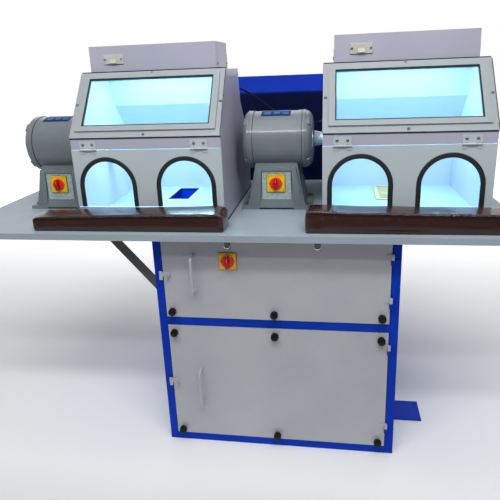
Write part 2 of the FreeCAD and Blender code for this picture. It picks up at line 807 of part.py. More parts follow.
armrest_len = 615.0
armrest_y = (-385.0, -294.5)
armrest_h = 58.0
armrest_lefts = [-752.0, 98.0]


def armrests():
    for side, x in zip(sides, armrest_lefts):
        pad = block(x, x + armrest_len, armrest_y[0], armrest_y[1], table_top_z, table_top_z + armrest_h)
        top_edges = [e for e in pad.Edges if min(v.Z for v in e.Vertexes) > table_top_z + 1]
        save("armrest_" + side, [pad.makeFillet(9.0, top_edges)])


# ---------------------------------------------------------------------------
# dust fan, filter and exhaust duct
# ---------------------------------------------------------------------------

def fan_housing():
    z0, z1 = fan_z
    x0, x1, p0, p1 = fan_port
    drum = rod((fan_x, fan_y, z0), (0, 0, 1), fan_r, z1 - z0)
    outlet = block(x0 - 3, x1, fan_y, cabinet_back - sheet, z0, z1)
    inner = rod((fan_x, fan_y, z0 + sheet), (0, 0, 1), fan_r - sheet, z1 - z0 - 2 * sheet)
    throat = block(x0, x1 - 3, fan_y, cabinet_back, p0, p1)
    housing = joined([drum, outlet]).cut(inner).cut(throat)
    housing = housing.cut(rod((fan_x, fan_y, z1 - 10), (0, 0, 1), inlet_r, 20))
    housing = housing.cut(rod((fan_x, fan_y, z0 - 5), (0, 0, 1), 25.0, 15))
    save("fan_housing", [housing])


def fan_motor():
    """Flange motor under the fan, on four legs to the cabinet floor."""
    top = fan_z[0]
    body = rod((fan_x, fan_y, 150), (0, 0, 1), 80.0, top - 160)
    flange = rod((fan_x, fan_y, top - 12), (0, 0, 1), 95.0, 12)
    bore = rod((fan_x, fan_y, top - 70), (0, 0, 1), fan_bore_r + running_gap, 90)
    recess = rod((fan_x, fan_y, top - 4), (0, 0, 1), 25.0, 5)
    parts = [body, flange]
    for a in (45, 135, 225, 315):
        cx = fan_x + 84 * math.cos(math.radians(a))
        cy = fan_y + 84 * math.sin(math.radians(a))
        parts.append(rod((cx, cy, sheet), (0, 0, 1), 8.0, top - 12 - sheet))
    save("fan_motor", [joined(parts).cut(bore).cut(recess)])


def fan_impeller():
    """Backplate, eight blades, shroud ring, hub and motor shaft."""
    z0 = fan_z[0] + 12
    backplate = rod((fan_x, fan_y, z0), (0, 0, 1), 140.0, 3)
    hub = rod((fan_x, fan_y, z0), (0, 0, 1), 24.0, 40)
    shaft = rod((fan_x, fan_y, fan_z[0] - 60), (0, 0, 1), fan_bore_r, 80)
    shroud = rod((fan_x, fan_y, z0 + 75), (0, 0, 1), 140.0, 3)
    shroud = shroud.cut(rod((fan_x, fan_y, z0 + 70), (0, 0, 1), 80.0, 12))
    blades = []
    for i in range(8):
        blade = block(fan_x + 70, fan_x + 138, fan_y - 1.5, fan_y + 1.5, z0 + 2, z0 + 76)
        blade.rotate(V(fan_x + 70, fan_y, 0), V(0, 0, 1), 35)
        blade.rotate(V(fan_x, fan_y, 0), V(0, 0, 1), 45 * i)
        blades.append(blade)
    save("fan_impeller", [joined([backplate, hub, shaft, shroud] + blades)])


def filter_cartridge():
    """Upright cartridge over the fan's inlet, with a closed cap."""
    foot = shelf_z + sheet
    media = rod((fan_x, fan_y, foot), (0, 0, 1), filter_r, 190)
    media = media.cut(rod((fan_x, fan_y, foot - 1), (0, 0, 1), inlet_r, 183))
    save("filter_cartridge", [media])


def exhaust_duct():
    """Blue trunk behind the table, with a sloped brow and outlet slots on top."""
    half = cabinet_w / 2
    y0, y1 = duct_y
    outline = [(y0, duct_z[0]), (y0, duct_z[1]), (y0 + duct_chamfer, duct_top_z), (y1, duct_top_z), (y1, duct_z[0])]
    inner = [(y0 + 2, duct_z[0] + 2), (y0 + 2, duct_z[1] - 1), (y0 + duct_chamfer + 1, duct_top_z - 2),
             (y1 - 2, duct_top_z - 2), (y1 - 2, duct_z[0] + 2)]
    duct = prism_yz(outline, -half, half).cut(prism_yz(inner, -half + 2, half - 2))
    x0, x1, z0, z1 = fan_port
    duct = duct.cut(block(x0, x1, y0 - 1, y0 + 5, z0, z1))
    for i in range(10):
        x = -half + 50 + i * 68
        duct = duct.cut(block(x, x + 48, y0 + duct_chamfer + 12, y0 + duct_chamfer + 40,
                              duct_top_z - 5, duct_top_z + 1))
    save("exhaust_duct", [duct])


# ---------------------------------------------------------------------------
# lamp lead: hangs from the left hood's back to the right hood's side
# ---------------------------------------------------------------------------

cable_r = 4.0
cable_route = [
    (-215, 80, 1188), (-215, 112, 1188), (-192, 142, 1181), (-153, 152, 1166), (-112, 152, 1141),
    (-72, 148, 1110), (-30, 143, 1080), (11, 137, 1057), (55, 124, 1043), (94, 114, 1043), (128, 114, 1043),
]
cable_end = cable_route[-1]


def rounded_route(points, share):
    """Straight runs joined by tangent arcs; prints each arc's radius."""
    pts = [V(*p) for p in points]
    edges = []
    start = pts[0]
    for before, corner, after in zip(pts, pts[1:], pts[2:]):
        back = before.sub(corner)
        ahead = after.sub(corner)
        reach = share * min(back.Length, ahead.Length)
        turn = math.pi - back.getAngle(ahead)
        radius = reach / math.tan(turn / 2)
        print("  lead arc radius %.0f" % radius)
        back.normalize()
        ahead.normalize()
        first = corner.add(back.multiply(reach))
        last = corner.add(ahead.multiply(reach))
        middle_way = first.add(last).multiply(0.5).sub(corner)
        to_centre = radius / math.cos(turn / 2)
        middle_way.normalize()
        middle = corner.add(middle_way.multiply(to_centre - radius))
        edges.append(Part.LineSegment(start, first).toShape())
        edges.append(Part.Arc(first, middle, last).toShape())
        start = last
    edges.append(Part.LineSegment(start, pts[-1]).toShape())
    return Part.Wire(edges)


def lamp_cable():
    path = rounded_route(cable_route, 0.45)
    first = V(*cable_route[1]).sub(V(*cable_route[0]))
    section = Part.Wire(Part.makeCircle(cable_r, V(*cable_route[0]), first))
    tube = path.makePipeShell([section], True, False)
    share = tube.Volume / (math.pi * cable_r ** 2 * path.Length)
    print("  lead length %.0f, volume over section times length %.4f" % (path.Length, share))
    save("lamp_cable", [tube])


def gland(seat, direction, reach):
    body = rod(seat, direction, 10.0, reach * 0.5)
    tip = Part.makeCone(9.0, 6.0, reach * 0.5, V(*seat).add(V(*direction).multiply(reach * 0.5)), V(*direction))
    return joined([body, tip])


def cable_glands():
    """Glands of the lamp lead, and the mains inlet low on the cabinet's back."""
    start = cable_route[0]
    wall_y = roof_back_y + (back_bend[0] - roof_back_y) * (window_head[1] - start[2]) / (window_head[1] - back_bend[1])
    first = gland((start[0], wall_y + 3, start[2]), (0, 1, 0), start[1] - wall_y - 3)
    second = gland((right_hood_x, cable_end[1], cable_end[2]), (-1, 0, 0), right_hood_x - cable_end[0])
    mains = gland((-300, cabinet_back, 90), (0, 1, 0), 34.0)
    save("cable_glands", [first, second, mains])


# ---------------------------------------------------------------------------
# build
# ---------------------------------------------------------------------------

cabinet_front_frame()
cabinet_panels()
cabinet_rear_panel()
foot_plate()
for level in ("lower", "upper"):
    door(level)
    door_handle(level)
    door_latch(level)
for number, (x, z) in enumerate(knob_centres["lower"] + knob_centres["upper"], 1):
    clamp_knob(number, x, z)
isolator()
table_top()
table_brackets()
suction_chutes()
floor_grille()
for side, x0 in zip(sides, hood_lefts):
    hood_shell(side, x0)
    flap(side, x0)
hood_cheeks()
windows()
flap_hinge_plates()
lamp_boxes()
lamp_tubes()
lamp_switches()
machine_screws()
motors()
spindles()
armrests()
fan_housing()
fan_motor()
fan_impeller()
filter_cartridge()
exhaust_duct()
lamp_cable()
cable_glands()
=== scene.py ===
import math

import bmesh
import bpy
from mathutils import Matrix, Vector, noise


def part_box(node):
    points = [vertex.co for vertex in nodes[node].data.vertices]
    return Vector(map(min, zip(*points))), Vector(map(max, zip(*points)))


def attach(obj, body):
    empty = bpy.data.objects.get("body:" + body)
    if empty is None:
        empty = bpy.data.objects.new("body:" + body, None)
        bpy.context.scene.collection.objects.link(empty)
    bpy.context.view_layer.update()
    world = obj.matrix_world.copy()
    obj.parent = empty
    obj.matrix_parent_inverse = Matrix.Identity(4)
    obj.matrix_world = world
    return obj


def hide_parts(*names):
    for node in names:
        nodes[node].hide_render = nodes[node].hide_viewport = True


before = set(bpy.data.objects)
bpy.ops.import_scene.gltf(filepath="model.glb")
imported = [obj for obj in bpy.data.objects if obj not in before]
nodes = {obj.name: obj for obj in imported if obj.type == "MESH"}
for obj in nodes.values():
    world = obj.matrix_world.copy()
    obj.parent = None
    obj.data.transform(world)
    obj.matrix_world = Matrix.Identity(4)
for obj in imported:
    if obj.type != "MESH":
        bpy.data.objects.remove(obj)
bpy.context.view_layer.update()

rootBody = "cabinet_and_table"
print("frame loaded:", len(nodes), "nodes")


# camera first, then the lamp lead
def linkPiece(name, data):
    piece = bpy.data.objects.new(name, data)
    bpy.context.scene.collection.objects.link(piece)
    return piece


cameraSetup = {
    "place": Vector((0.1777, -1.7796, 1.2469)),
    "yaw": -0.1615,  # looks slightly to the left
    "pitch": 0.2977,  # and down
    "roll": -0.0408,
    "lens": 36.66,
    "shift": (-0.0059, -0.0544),
}


def makeCamera(setup):
    cy, sy = math.cos(setup["yaw"]), math.sin(setup["yaw"])
    cp, sp = math.cos(setup["pitch"]), math.sin(setup["pitch"])
    cr, sr = math.cos(setup["roll"]), math.sin(setup["roll"])
    ahead = Vector((sy * cp, cy * cp, -sp))
    level = Vector((cy, -sy, 0))
    top = level.cross(ahead)
    right = level * cr + top * sr
    up = top * cr - level * sr
    data = bpy.data.cameras.new("benchCamera")
    data.lens = setup["lens"]
    data.sensor_width = 36
    data.shift_x, data.shift_y = setup["shift"]
    data.clip_start = 0.05
    camera = linkPiece("benchCamera", data)
    turn = Matrix((right, up, -ahead)).transposed().to_4x4()
    camera.matrix_world = Matrix.Translation(setup["place"]) @ turn
    bpy.context.scene.camera = camera


makeCamera(cameraSetup)

lampLead = {
    "diameter": 0.008,
    "length": 0.43,
    "route": [
        (-0.215, 0.080, 1.188), (-0.215, 0.112, 1.188), (-0.192, 0.142, 1.181),
        (-0.153, 0.152, 1.166), (-0.112, 0.152, 1.141), (-0.072, 0.148, 1.110),
        (-0.030, 0.143, 1.080), (0.011, 0.137, 1.057), (0.055, 0.124, 1.043),
        (0.094, 0.114, 1.043), (0.128, 0.114, 1.043),
    ],
}


def makeLampLead(lead):
    data = bpy.data.curves.new("lamp_lead", "CURVE")
    data.dimensions = "3D"
    spline = data.splines.new("NURBS")
    spline.points.add(len(lead["route"]) - 1)
    for point, place in zip(spline.points, lead["route"]):
        point.co = (*place, 1)
        point.radius = lead["diameter"] / 2  # the curve's box grows by this much
    spline.order_u = 3
    spline.use_endpoint_u = True
    spline.resolution_u = 10
    data.bevel_depth = 1.0
    data.bevel_resolution = 5
    data.use_fill_caps = True
    cordPiece = linkPiece("lamp_lead", data)
    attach(cordPiece, rootBody)
    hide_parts("lamp_cable")
    return cordPiece


leadPiece = makeLampLead(lampLead)
print("camera and lamp lead made")


# materials
def startFinish(name):
    material = bpy.data.materials.new(name)
    material.use_nodes = True
    tree = material.node_tree
    shader = tree.nodes["Principled BSDF"]
    return material, tree, shader


def addNode(tree, kind, settings=None, inputs=None):
    node = tree.nodes.new(kind)
    for key, value in (settings or {}).items():
        setattr(node, key, value)
    for key, value in (inputs or {}).items():
        node.inputs[key].default_value = value
    return node


def placeOf(tree, scale=(1, 1, 1)):
    coordinates = addNode(tree, "ShaderNodeTexCoord")
    mapping = addNode(tree, "ShaderNodeMapping", inputs={"Scale": scale})
    tree.links.new(coordinates.outputs["Object"], mapping.inputs["Vector"])
    return mapping.outputs["Vector"]


def noiseOf(tree, vector, scale, detail=4.0, rough=0.55):
    node = addNode(tree, "ShaderNodeTexNoise",
                   inputs={"Scale": scale, "Detail": detail, "Roughness": rough})
    tree.links.new(vector, node.inputs["Vector"])
    return node.outputs["Fac"]


def stretch(tree, value, fromLow, fromHigh, toLow, toHigh):
    node = addNode(tree, "ShaderNodeMapRange",
                   inputs={"From Min": fromLow, "From Max": fromHigh, "To Min": toLow, "To Max": toHigh})
    tree.links.new(value, node.inputs["Value"])
    return node.outputs["Result"]


def blendColour(tree, share, first, second):
    node = addNode(tree, "ShaderNodeMix", {"data_type": "RGBA"})
    for socket, colour in (("A", first), ("B", second)):
        target = [s for s in node.inputs if s.name == socket and s.type == "RGBA"][0]
        if isinstance(colour, tuple):
            target.default_value = (*colour, 1)
        else:
            tree.links.new(colour, target)
    tree.links.new(share, node.inputs["Factor"])
    return [s for s in node.outputs if s.type == "RGBA"][0]


def addBump(tree, height, shader, strength, distance, before=None):
    bump = addNode(tree, "ShaderNodeBump", inputs={"Strength": strength, "Distance": distance})
    tree.links.new(height, bump.inputs["Height"])
    if before is not None:
        tree.links.new(before, bump.inputs["Normal"])
    tree.links.new(bump.outputs["Normal"], shader.inputs["Normal"])
    return bump.outputs["Normal"]


def sprayedPaint(name, look):
    material, tree, shader = startFinish(name)
    place = placeOf(tree)
    cloud = noiseOf(tree, place, look["cloudScale"], 5.0, 0.6)
    share = stretch(tree, cloud, 0.35, 0.68, 0.0, 1.0)
    body = blendColour(tree, share, look["colour"], look["shade"])
    specks = noiseOf(tree, place, look["dustScale"], 3.0, 0.7)
    dust = stretch(tree, specks, 0.62, 0.74, 0.0, look["dust"])
    colour = blendColour(tree, dust, body, look["dustColour"])
    if "depth" in look:  # painted shade: the front face, below a height, is darkened where the trunk stands in the hoods' shadow
        low, high, shade = look["depth"]
        parts = addNode(tree, "ShaderNodeSeparateXYZ")
        tree.links.new(place, parts.inputs["Vector"])
        upper = stretch(tree, parts.outputs["Z"], low, high, 0.0, 1.0)
        start = look["front"] + 0.001
        behind = stretch(tree, parts.outputs["Y"], start, start + 0.002, 0.0, 1.0)
        lit = addNode(tree, "ShaderNodeMath", {"operation": "MAXIMUM"})
        tree.links.new(upper, lit.inputs[0])
        tree.links.new(behind, lit.inputs[1])
        colour = blendColour(tree, lit.outputs["Value"], shade, colour)
    tree.links.new(colour, shader.inputs["Base Color"])
    wipe = noiseOf(tree, placeOf(tree, (6, 6, 1.5)), 3.0, 4.0, 0.6)
    low, high = look["roughness"]
    tree.links.new(stretch(tree, wipe, 0.3, 0.7, low, high), shader.inputs["Roughness"])
    dents = noiseOf(tree, place, look["dentScale"], 2.0, 0.4)
    soft = addBump(tree, dents, shader, 0.5, look["dentDepth"])
    peel = noiseOf(tree, place, look["peelScale"], 2.0, 0.5)
    addBump(tree, peel, shader, look["peel"], 0.0004, soft)
    shader.inputs["Specular IOR Level"].default_value = look.get("specular", 0.5)
    shader.inputs["Coat Weight"].default_value = look["coat"]
    shader.inputs["Coat Roughness"].default_value = 0.12
    return material


sheetCoat = {
    "cloudScale": 3.2, "dustScale": 24.0, "dust": 0.10, "roughness": (0.34, 0.5),
    "dentScale": 4.0, "dentDepth": 0.003, "peelScale": 520.0, "peel": 0.16, "coat": 0.12}
hoodPaint = sprayedPaint("hoodPaint", {
    **sheetCoat, "colour": (0.49, 0.495, 0.60), "shade": (0.445, 0.455, 0.56),
    "dustColour": (0.38, 0.38, 0.39)})
# the hood's white paint darkened: painted shade for the window frames
frameShadedPaint = sprayedPaint("frameShadedPaint", {
    **sheetCoat, "colour": (0.385, 0.425, 0.450), "shade": (0.350, 0.390, 0.415),
    "dustColour": (0.30, 0.31, 0.32)})
# the hood's white paint lighter and greener: painted light on the arm hole flaps and hinge plates
flapLitPaint = sprayedPaint("flapLitPaint", {
    **sheetCoat, "colour": (0.545, 0.625, 0.665), "shade": (0.500, 0.580, 0.620),
    "dustColour": (0.42, 0.43, 0.44)})
tablePaint = sprayedPaint("tablePaint", {
    "colour": (0.385, 0.46, 0.52), "shade": (0.345, 0.415, 0.475), "dustColour": (0.33, 0.34, 0.35),
    "cloudScale": 3.0, "dustScale": 30.0, "dust": 0.14, "roughness": (0.40, 0.58),
    "dentScale": 3.0, "dentDepth": 0.003, "peelScale": 480.0, "peel": 0.14, "coat": 0.0,
    "specular": 0.3})
doorPaint = sprayedPaint("doorPaint", {
    "colour": (0.52, 0.53, 0.57), "shade": (0.45, 0.455, 0.50), "dustColour": (0.37, 0.36, 0.36),
    "cloudScale": 2.6, "dustScale": 22.0, "dust": 0.12, "roughness": (0.30, 0.5),
    "dentScale": 5.0, "dentDepth": 0.005, "peelScale": 520.0, "peel": 0.14, "coat": 0.15})
blueCoat = {
    "cloudScale": 4.0, "dustScale": 26.0, "dust": 0.14, "roughness": (0.30, 0.46),
    "dentScale": 5.0, "dentDepth": 0.004, "peelScale": 420.0, "peel": 0.16, "coat": 0.0}
bluePaint = sprayedPaint("bluePaint", {
    **blueCoat, "colour": (0.003, 0.046, 0.52), "shade": (0.0025, 0.036, 0.42),
    "dustColour": (0.012, 0.055, 0.40), "specular": 0.08})
# the duct's blue, with painted shade darkening its front face below the brow
ductPaintShaded = sprayedPaint("ductPaintShaded", {
    **blueCoat, "colour": (0.003, 0.035, 0.48), "shade": (0.002, 0.027, 0.40),
    "dustColour": (0.012, 0.045, 0.36), "dust": 0.15, "dentScale": 4.0, "specular": 0.2,
    "depth": (1.136, 1.150, (0.0012, 0.005, 0.040)), "front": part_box("exhaust_duct")[0].y})
motorPaint = sprayedPaint("motorPaint", {
    "colour": (0.215, 0.245, 0.265), "shade": (0.180, 0.208, 0.230), "dustColour": (0.26, 0.27, 0.28),
    "cloudScale": 7.0, "dustScale": 60.0, "dust": 0.20, "roughness": (0.26, 0.42),
    "dentScale": 14.0, "dentDepth": 0.0010, "peelScale": 360.0, "peel": 0.10, "coat": 0.9})
castPaint = sprayedPaint("castPaint", {
    "colour": (0.205, 0.250, 0.265), "shade": (0.165, 0.205, 0.222), "dustColour": (0.24, 0.26, 0.27),
    "cloudScale": 9.0, "dustScale": 80.0, "dust": 0.25, "roughness": (0.42, 0.62),
    "dentScale": 60.0, "dentDepth": 0.0012, "peelScale": 700.0, "peel": 0.5, "coat": 0.05})
bracePaint = sprayedPaint("bracePaint", {
    "colour": (0.082, 0.083, 0.085), "shade": (0.066, 0.067, 0.069), "dustColour": (0.17, 0.165, 0.16),
    "cloudScale": 12.0, "dustScale": 60.0, "dust": 0.2, "roughness": (0.4, 0.55),
    "dentScale": 30.0, "dentDepth": 0.001, "peelScale": 500.0, "peel": 0.2, "coat": 0.05})


def plainFinish(name, look):
    material, tree, shader = startFinish(name)
    place = placeOf(tree, look.get("stretch", (1, 1, 1)))
    grain = noiseOf(tree, place, look["grainScale"], 4.0, 0.6)
    colour = blendColour(tree, stretch(tree, grain, 0.3, 0.7, 0.0, 1.0), look["colour"], look["shade"])
    tree.links.new(colour, shader.inputs["Base Color"])
    low, high = look["roughness"]
    tree.links.new(stretch(tree, grain, 0.3, 0.7, low, high), shader.inputs["Roughness"])
    addBump(tree, grain, shader, look["bump"], look["bumpDepth"])
    shader.inputs["Metallic"].default_value = look.get("metal", 0.0)
    shader.inputs["Specular IOR Level"].default_value = look.get("specular", 0.5)
    return material


# steel brightened and tinted cyan: painted light from the hood lamps on the spindles
turnedSteelCyanLit = plainFinish("turnedSteelCyanLit", {
    "colour": (0.70, 0.82, 0.84), "shade": (0.56, 0.68, 0.70), "grainScale": 14.0, "stretch": (60, 1, 1),
    "roughness": (0.24, 0.40), "bump": 0.12, "bumpDepth": 0.0003, "metal": 0.6})
screwSteel = plainFinish("screwSteel", {
    "colour": (0.42, 0.42, 0.44), "shade": (0.25, 0.25, 0.27), "grainScale": 300.0,
    "roughness": (0.25, 0.45), "bump": 0.1, "bumpDepth": 0.0002, "metal": 1.0})
blackRubber = plainFinish("blackRubber", {
    "colour": (0.012, 0.016, 0.017), "shade": (0.020, 0.026, 0.027), "grainScale": 260.0,
    "roughness": (0.5, 0.7), "bump": 0.2, "bumpDepth": 0.0004})
blackKnobPlastic = plainFinish("blackKnobPlastic", {
    "colour": (0.004, 0.004, 0.005), "shade": (0.007, 0.007, 0.008), "grainScale": 420.0,
    "roughness": (0.38, 0.52), "bump": 0.15, "bumpDepth": 0.0003, "specular": 0.25})
leadRubber = plainFinish("leadRubber", {
    "colour": (0.006, 0.008, 0.012), "shade": (0.012, 0.014, 0.020), "grainScale": 220.0,
    "roughness": (0.55, 0.70), "bump": 0.1, "bumpDepth": 0.0003, "specular": 0.12})
yellowPlastic = plainFinish("yellowPlastic", {
    "colour": (1.0, 0.68, 0.014), "shade": (0.96, 0.62, 0.012), "grainScale": 160.0,
    "roughness": (0.30, 0.40), "bump": 0.06, "bumpDepth": 0.0003})
knobGloss = {"grainScale": 180.0, "roughness": (0.22, 0.32), "bump": 0.05, "bumpDepth": 0.0002}
redPlastic = plainFinish("redPlastic", {
    **knobGloss, "colour": (1.0, 0.035, 0.026), "shade": (0.92, 0.026, 0.020)})
# the knob's red darkened: painted shade on the grip bar
gripRedShaded = plainFinish("gripRedShaded", {
    **knobGloss, "colour": (0.50, 0.006, 0.005), "shade": (0.42, 0.005, 0.004)})
switchPlastic = plainFinish("switchPlastic", {
    "colour": (0.60, 0.60, 0.53), "shade": (0.55, 0.55, 0.48), "grainScale": 120.0,
    "roughness": (0.26, 0.36), "bump": 0.05, "bumpDepth": 0.0002})
plateFoil = {"grainScale": 140.0, "roughness": (0.25, 0.4), "bump": 0.05, "bumpDepth": 0.0002,
             "specular": 0.1}
plateBlue = plainFinish("plateBlue", {
    **plateFoil, "colour": (0.004, 0.030, 0.13), "shade": (0.003, 0.020, 0.09)})
plateLightBlue = plainFinish("plateLightBlue", {
    **plateFoil, "colour": (0.02, 0.20, 0.52), "shade": (0.010, 0.10, 0.30)})
# near-black leather for the welt: painted shade for the dark line along the puckered seam
seamShadeLeather = plainFinish("seamShadeLeather", {
    "colour": (0.012, 0.005, 0.0045), "shade": (0.007, 0.003, 0.003), "grainScale": 200.0,
    "roughness": (0.35, 0.55), "bump": 0.2, "bumpDepth": 0.0004, "specular": 0.3})
fanAlloy = plainFinish("fanAlloy", {
    "colour": (0.60, 0.61, 0.62), "shade": (0.50, 0.51, 0.52), "grainScale": 90.0, "stretch": (1, 6, 1),
    "roughness": (0.3, 0.45), "bump": 0.1, "bumpDepth": 0.0003, "metal": 1.0})


def galvanisedSheet():
    material, tree, shader = startFinish("galvanisedSheet")
    place = placeOf(tree)
    spangle = addNode(tree, "ShaderNodeTexVoronoi", inputs={"Scale": 170.0})
    tree.links.new(place, spangle.inputs["Vector"])
    tone = addNode(tree, "ShaderNodeSeparateColor")
    tree.links.new(spangle.outputs["Color"], tone.inputs["Color"])
    flakes = tone.outputs["Red"]
    colour = blendColour(tree, flakes, (0.42, 0.54, 0.53), (0.62, 0.74, 0.72))
    tree.links.new(colour, shader.inputs["Base Color"])
    tree.links.new(stretch(tree, flakes, 0.0, 1.0, 0.35, 0.6), shader.inputs["Roughness"])
    shader.inputs["Metallic"].default_value = 0.3
    addBump(tree, flakes, shader, 0.15, 0.0003)
    return material


zincSheet = galvanisedSheet()


def armrestLeather():
    material, tree, shader = startFinish("armrestLeather")
    place = placeOf(tree)
    tone = noiseOf(tree, place, 9.0, 5.0, 0.6)
    share = stretch(tree, tone, 0.32, 0.68, 0.0, 1.0)
    colour = blendColour(tree, share, (0.052, 0.0120, 0.0085), (0.034, 0.0078, 0.0058))
    pores = addNode(tree, "ShaderNodeTexVoronoi", {"feature": "DISTANCE_TO_EDGE"}, {"Scale": 420.0})
    tree.links.new(place, pores.inputs["Vector"])
    creases = stretch(tree, pores.outputs["Distance"], 0.0, 0.12, 0.0, 1.0)
    worn = blendColour(tree, creases, (0.016, 0.006, 0.005), colour)
    tree.links.new(worn, shader.inputs["Base Color"])
    polish = noiseOf(tree, place, 26.0, 4.0, 0.6)
    tree.links.new(stretch(tree, polish, 0.3, 0.7, 0.14, 0.26), shader.inputs["Roughness"])
    folds = noiseOf(tree, place, 70.0, 5.0, 0.65)
    soft = addBump(tree, folds, shader, 0.16, 0.0014)
    addBump(tree, creases, shader, 0.14, 0.0005, soft)
    shader.inputs["Specular IOR Level"].default_value = 0.6
    shader.inputs["Coat Weight"].default_value = 0.4
    shader.inputs["Coat Roughness"].default_value = 0.14
    shader.inputs["Coat IOR"].default_value = 1.6
    return material


padLeather = armrestLeather()


def windowGlass():
    material, tree, shader = startFinish("windowGlass")
    place = placeOf(tree)
    smear = noiseOf(tree, place, 14.0, 4.0, 0.6)
    colour = blendColour(tree, smear, (0.36, 0.80, 0.92), (0.42, 0.84, 0.95))
    tree.links.new(colour, shader.inputs["Base Color"])
    tree.links.new(stretch(tree, smear, 0.3, 0.7, 0.02, 0.07), shader.inputs["Roughness"])
    shader.inputs["Alpha"].default_value = 0.32
    return material


paneGlass = windowGlass()


def glowingTube():
    material, tree, shader = startFinish("glowingTube")
    place = placeOf(tree)
    fade = noiseOf(tree, place, 20.0, 2.0, 0.5)
    colour = blendColour(tree, fade, (0.72, 0.97, 1.0), (0.80, 0.98, 1.0))
    tree.links.new(colour, shader.inputs["Base Color"])
    shader.inputs["Emission Color"].default_value = (0.62, 0.95, 1.0, 1)
    shader.inputs["Emission Strength"].default_value = 6.0
    return material


tubeGlow = glowingTube()


def slatWood():
    material, tree, shader = startFinish("slatWood")
    place = placeOf(tree, (4, 60, 60))
    rings = noiseOf(tree, place, 6.0, 6.0, 0.65)
    share = stretch(tree, rings, 0.3, 0.7, 0.0, 1.0)
    colour = blendColour(tree, share, (0.62, 0.50, 0.30), (0.42, 0.31, 0.17))
    tree.links.new(colour, shader.inputs["Base Color"])
    shader.inputs["Roughness"].default_value = 0.6
    addBump(tree, rings, shader, 0.4, 0.0006)
    return material


grilleWood = slatWood()


def pleatedPaper():
    material, tree, shader = startFinish("pleatedPaper")
    place = placeOf(tree)
    waves = addNode(tree, "ShaderNodeTexWave", {"bands_direction": "X"},
                    {"Scale": 60.0, "Distortion": 0.6})
    tree.links.new(place, waves.inputs["Vector"])
    colour = blendColour(tree, waves.outputs["Fac"], (0.52, 0.47, 0.36), (0.70, 0.65, 0.52))
    tree.links.new(colour, shader.inputs["Base Color"])
    shader.inputs["Roughness"].default_value = 0.85
    addBump(tree, waves.outputs["Fac"], shader, 0.6, 0.003)
    return material


filterPaper = pleatedPaper()

nodeFinish = {
    hoodPaint: ["hood_left_shell", "hood_right_shell", "hood_cheeks", "lamp_boxes"],
    frameShadedPaint: ["window_frames"],
    flapLitPaint: ["flap_left", "flap_right", "flap_hinge_plates"],
    tablePaint: ["table_top"],
    doorPaint: ["upper_door", "lower_door", "upper_door_handle", "lower_door_handle",
                "upper_latch", "lower_latch"],
    bluePaint: ["cabinet_front_frame", "cabinet_panels", "cabinet_rear_panel", "foot_plate",
                "suction_chutes"],
    ductPaintShaded: ["exhaust_duct"],
    bracePaint: ["table_brackets"],
    motorPaint: ["motor_casings", "motor_end_bells", "fan_motor"],
    castPaint: ["motor_pedestals"],
    zincSheet: ["motor_cover_plates", "fan_housing"],
    turnedSteelCyanLit: ["spindle_left", "spindle_right"],
    screwSteel: ["machine_screws"],
    blackRubber: ["window_gaskets", "flap_left_edging", "flap_right_edging"],
    yellowPlastic: ["motor_switch_plates", "isolator_plate"],
    redPlastic: ["isolator_knob", "switch_knob_left", "switch_knob_right"],
    blackKnobPlastic: ["cable_glands"] + ["clamp_knob_%d" % n for n in range(1, 10)],
    switchPlastic: ["lamp_switch_plates", "lamp_rocker_left", "lamp_rocker_right"],
    paneGlass: ["window_glasses"],
    tubeGlow: ["lamp_tubes"],
    grilleWood: ["floor_grille"],
    filterPaper: ["filter_cartridge"],
    fanAlloy: ["fan_impeller"],
}


def dressNodes(table):
    dressed = set()
    for material, names in table.items():
        for name in names:
            mesh = nodes[name].data
            mesh.materials.clear()
            mesh.materials.append(material)
            dressed.add(name)
    madeHere = {"lamp_cable", "armrest_left", "armrest_right"}
    print("nodes without a finish:", sorted(set(nodes) - dressed - madeHere))


dressNodes(nodeFinish)
leadPiece.data.materials.append(leadRubber)


# mesh helpers
def keepMesh(name, form, material, body, smooth=40):
    bmesh.ops.recalc_face_normals(form, faces=form.faces)
    mesh = bpy.data.meshes.new(name)
    form.to_mesh(mesh)
    form.free()
    mesh.materials.append(material)
    piece = linkPiece(name, mesh)
    if smooth:
        mesh.shade_smooth()
        mesh.set_sharp_from_angle(angle=math.radians(smooth))
    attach(piece, body)
    return piece


def roundEdges(form, edges, bevel, segments):
    bmesh.ops.bevel(form, geom=edges, offset=bevel, segments=segments, affect="EDGES", profile=0.6)


def addBox(form, low, high, bevel=0.0, segments=2):
    size = [b - a for a, b in zip(low, high)]
    middle = [(a + b) / 2 for a, b in zip(low, high)]
    place = Matrix.Translation(middle) @ Matrix.Diagonal((*size, 1))
    made = bmesh.ops.create_cube(form, size=1.0, matrix=place)
    if bevel:
        edges = list({e for v in made["verts"] for e in v.link_edges})
        roundEdges(form, edges, bevel, segments)


def addLathe(form, profile, centre, axis, steps=48, closed=False):
    # profile is (along, radius); a point with radius 0 lies on the axis; closed makes a ring of it
    turn = Vector((0, 0, 1)).rotation_difference(Vector(axis)).to_matrix()
    rings = []
    for along, radius in profile:
        if radius < 1e-7:
            rings.append([form.verts.new(Vector(centre) + turn @ Vector((0, 0, along)))])
            continue
        ring = []
        for step in range(steps):
            angle = 2 * math.pi * step / steps
            spot = Vector((radius * math.cos(angle), radius * math.sin(angle), along))
            ring.append(form.verts.new(Vector(centre) + turn @ spot))
        rings.append(ring)
    pairs = list(zip(rings, rings[1:])) + ([(rings[-1], rings[0])] if closed else [])
    for first, second in pairs:
        for step in range(steps):
            after = (step + 1) % steps
            if len(first) == 1 and len(second) > 1:
                form.faces.new((first[0], second[step], second[after]))
            elif len(second) == 1 and len(first) > 1:
                form.faces.new((first[step], first[after], second[0]))
            elif len(first) > 1:
                form.faces.new((first[step], first[after], second[after], second[step]))


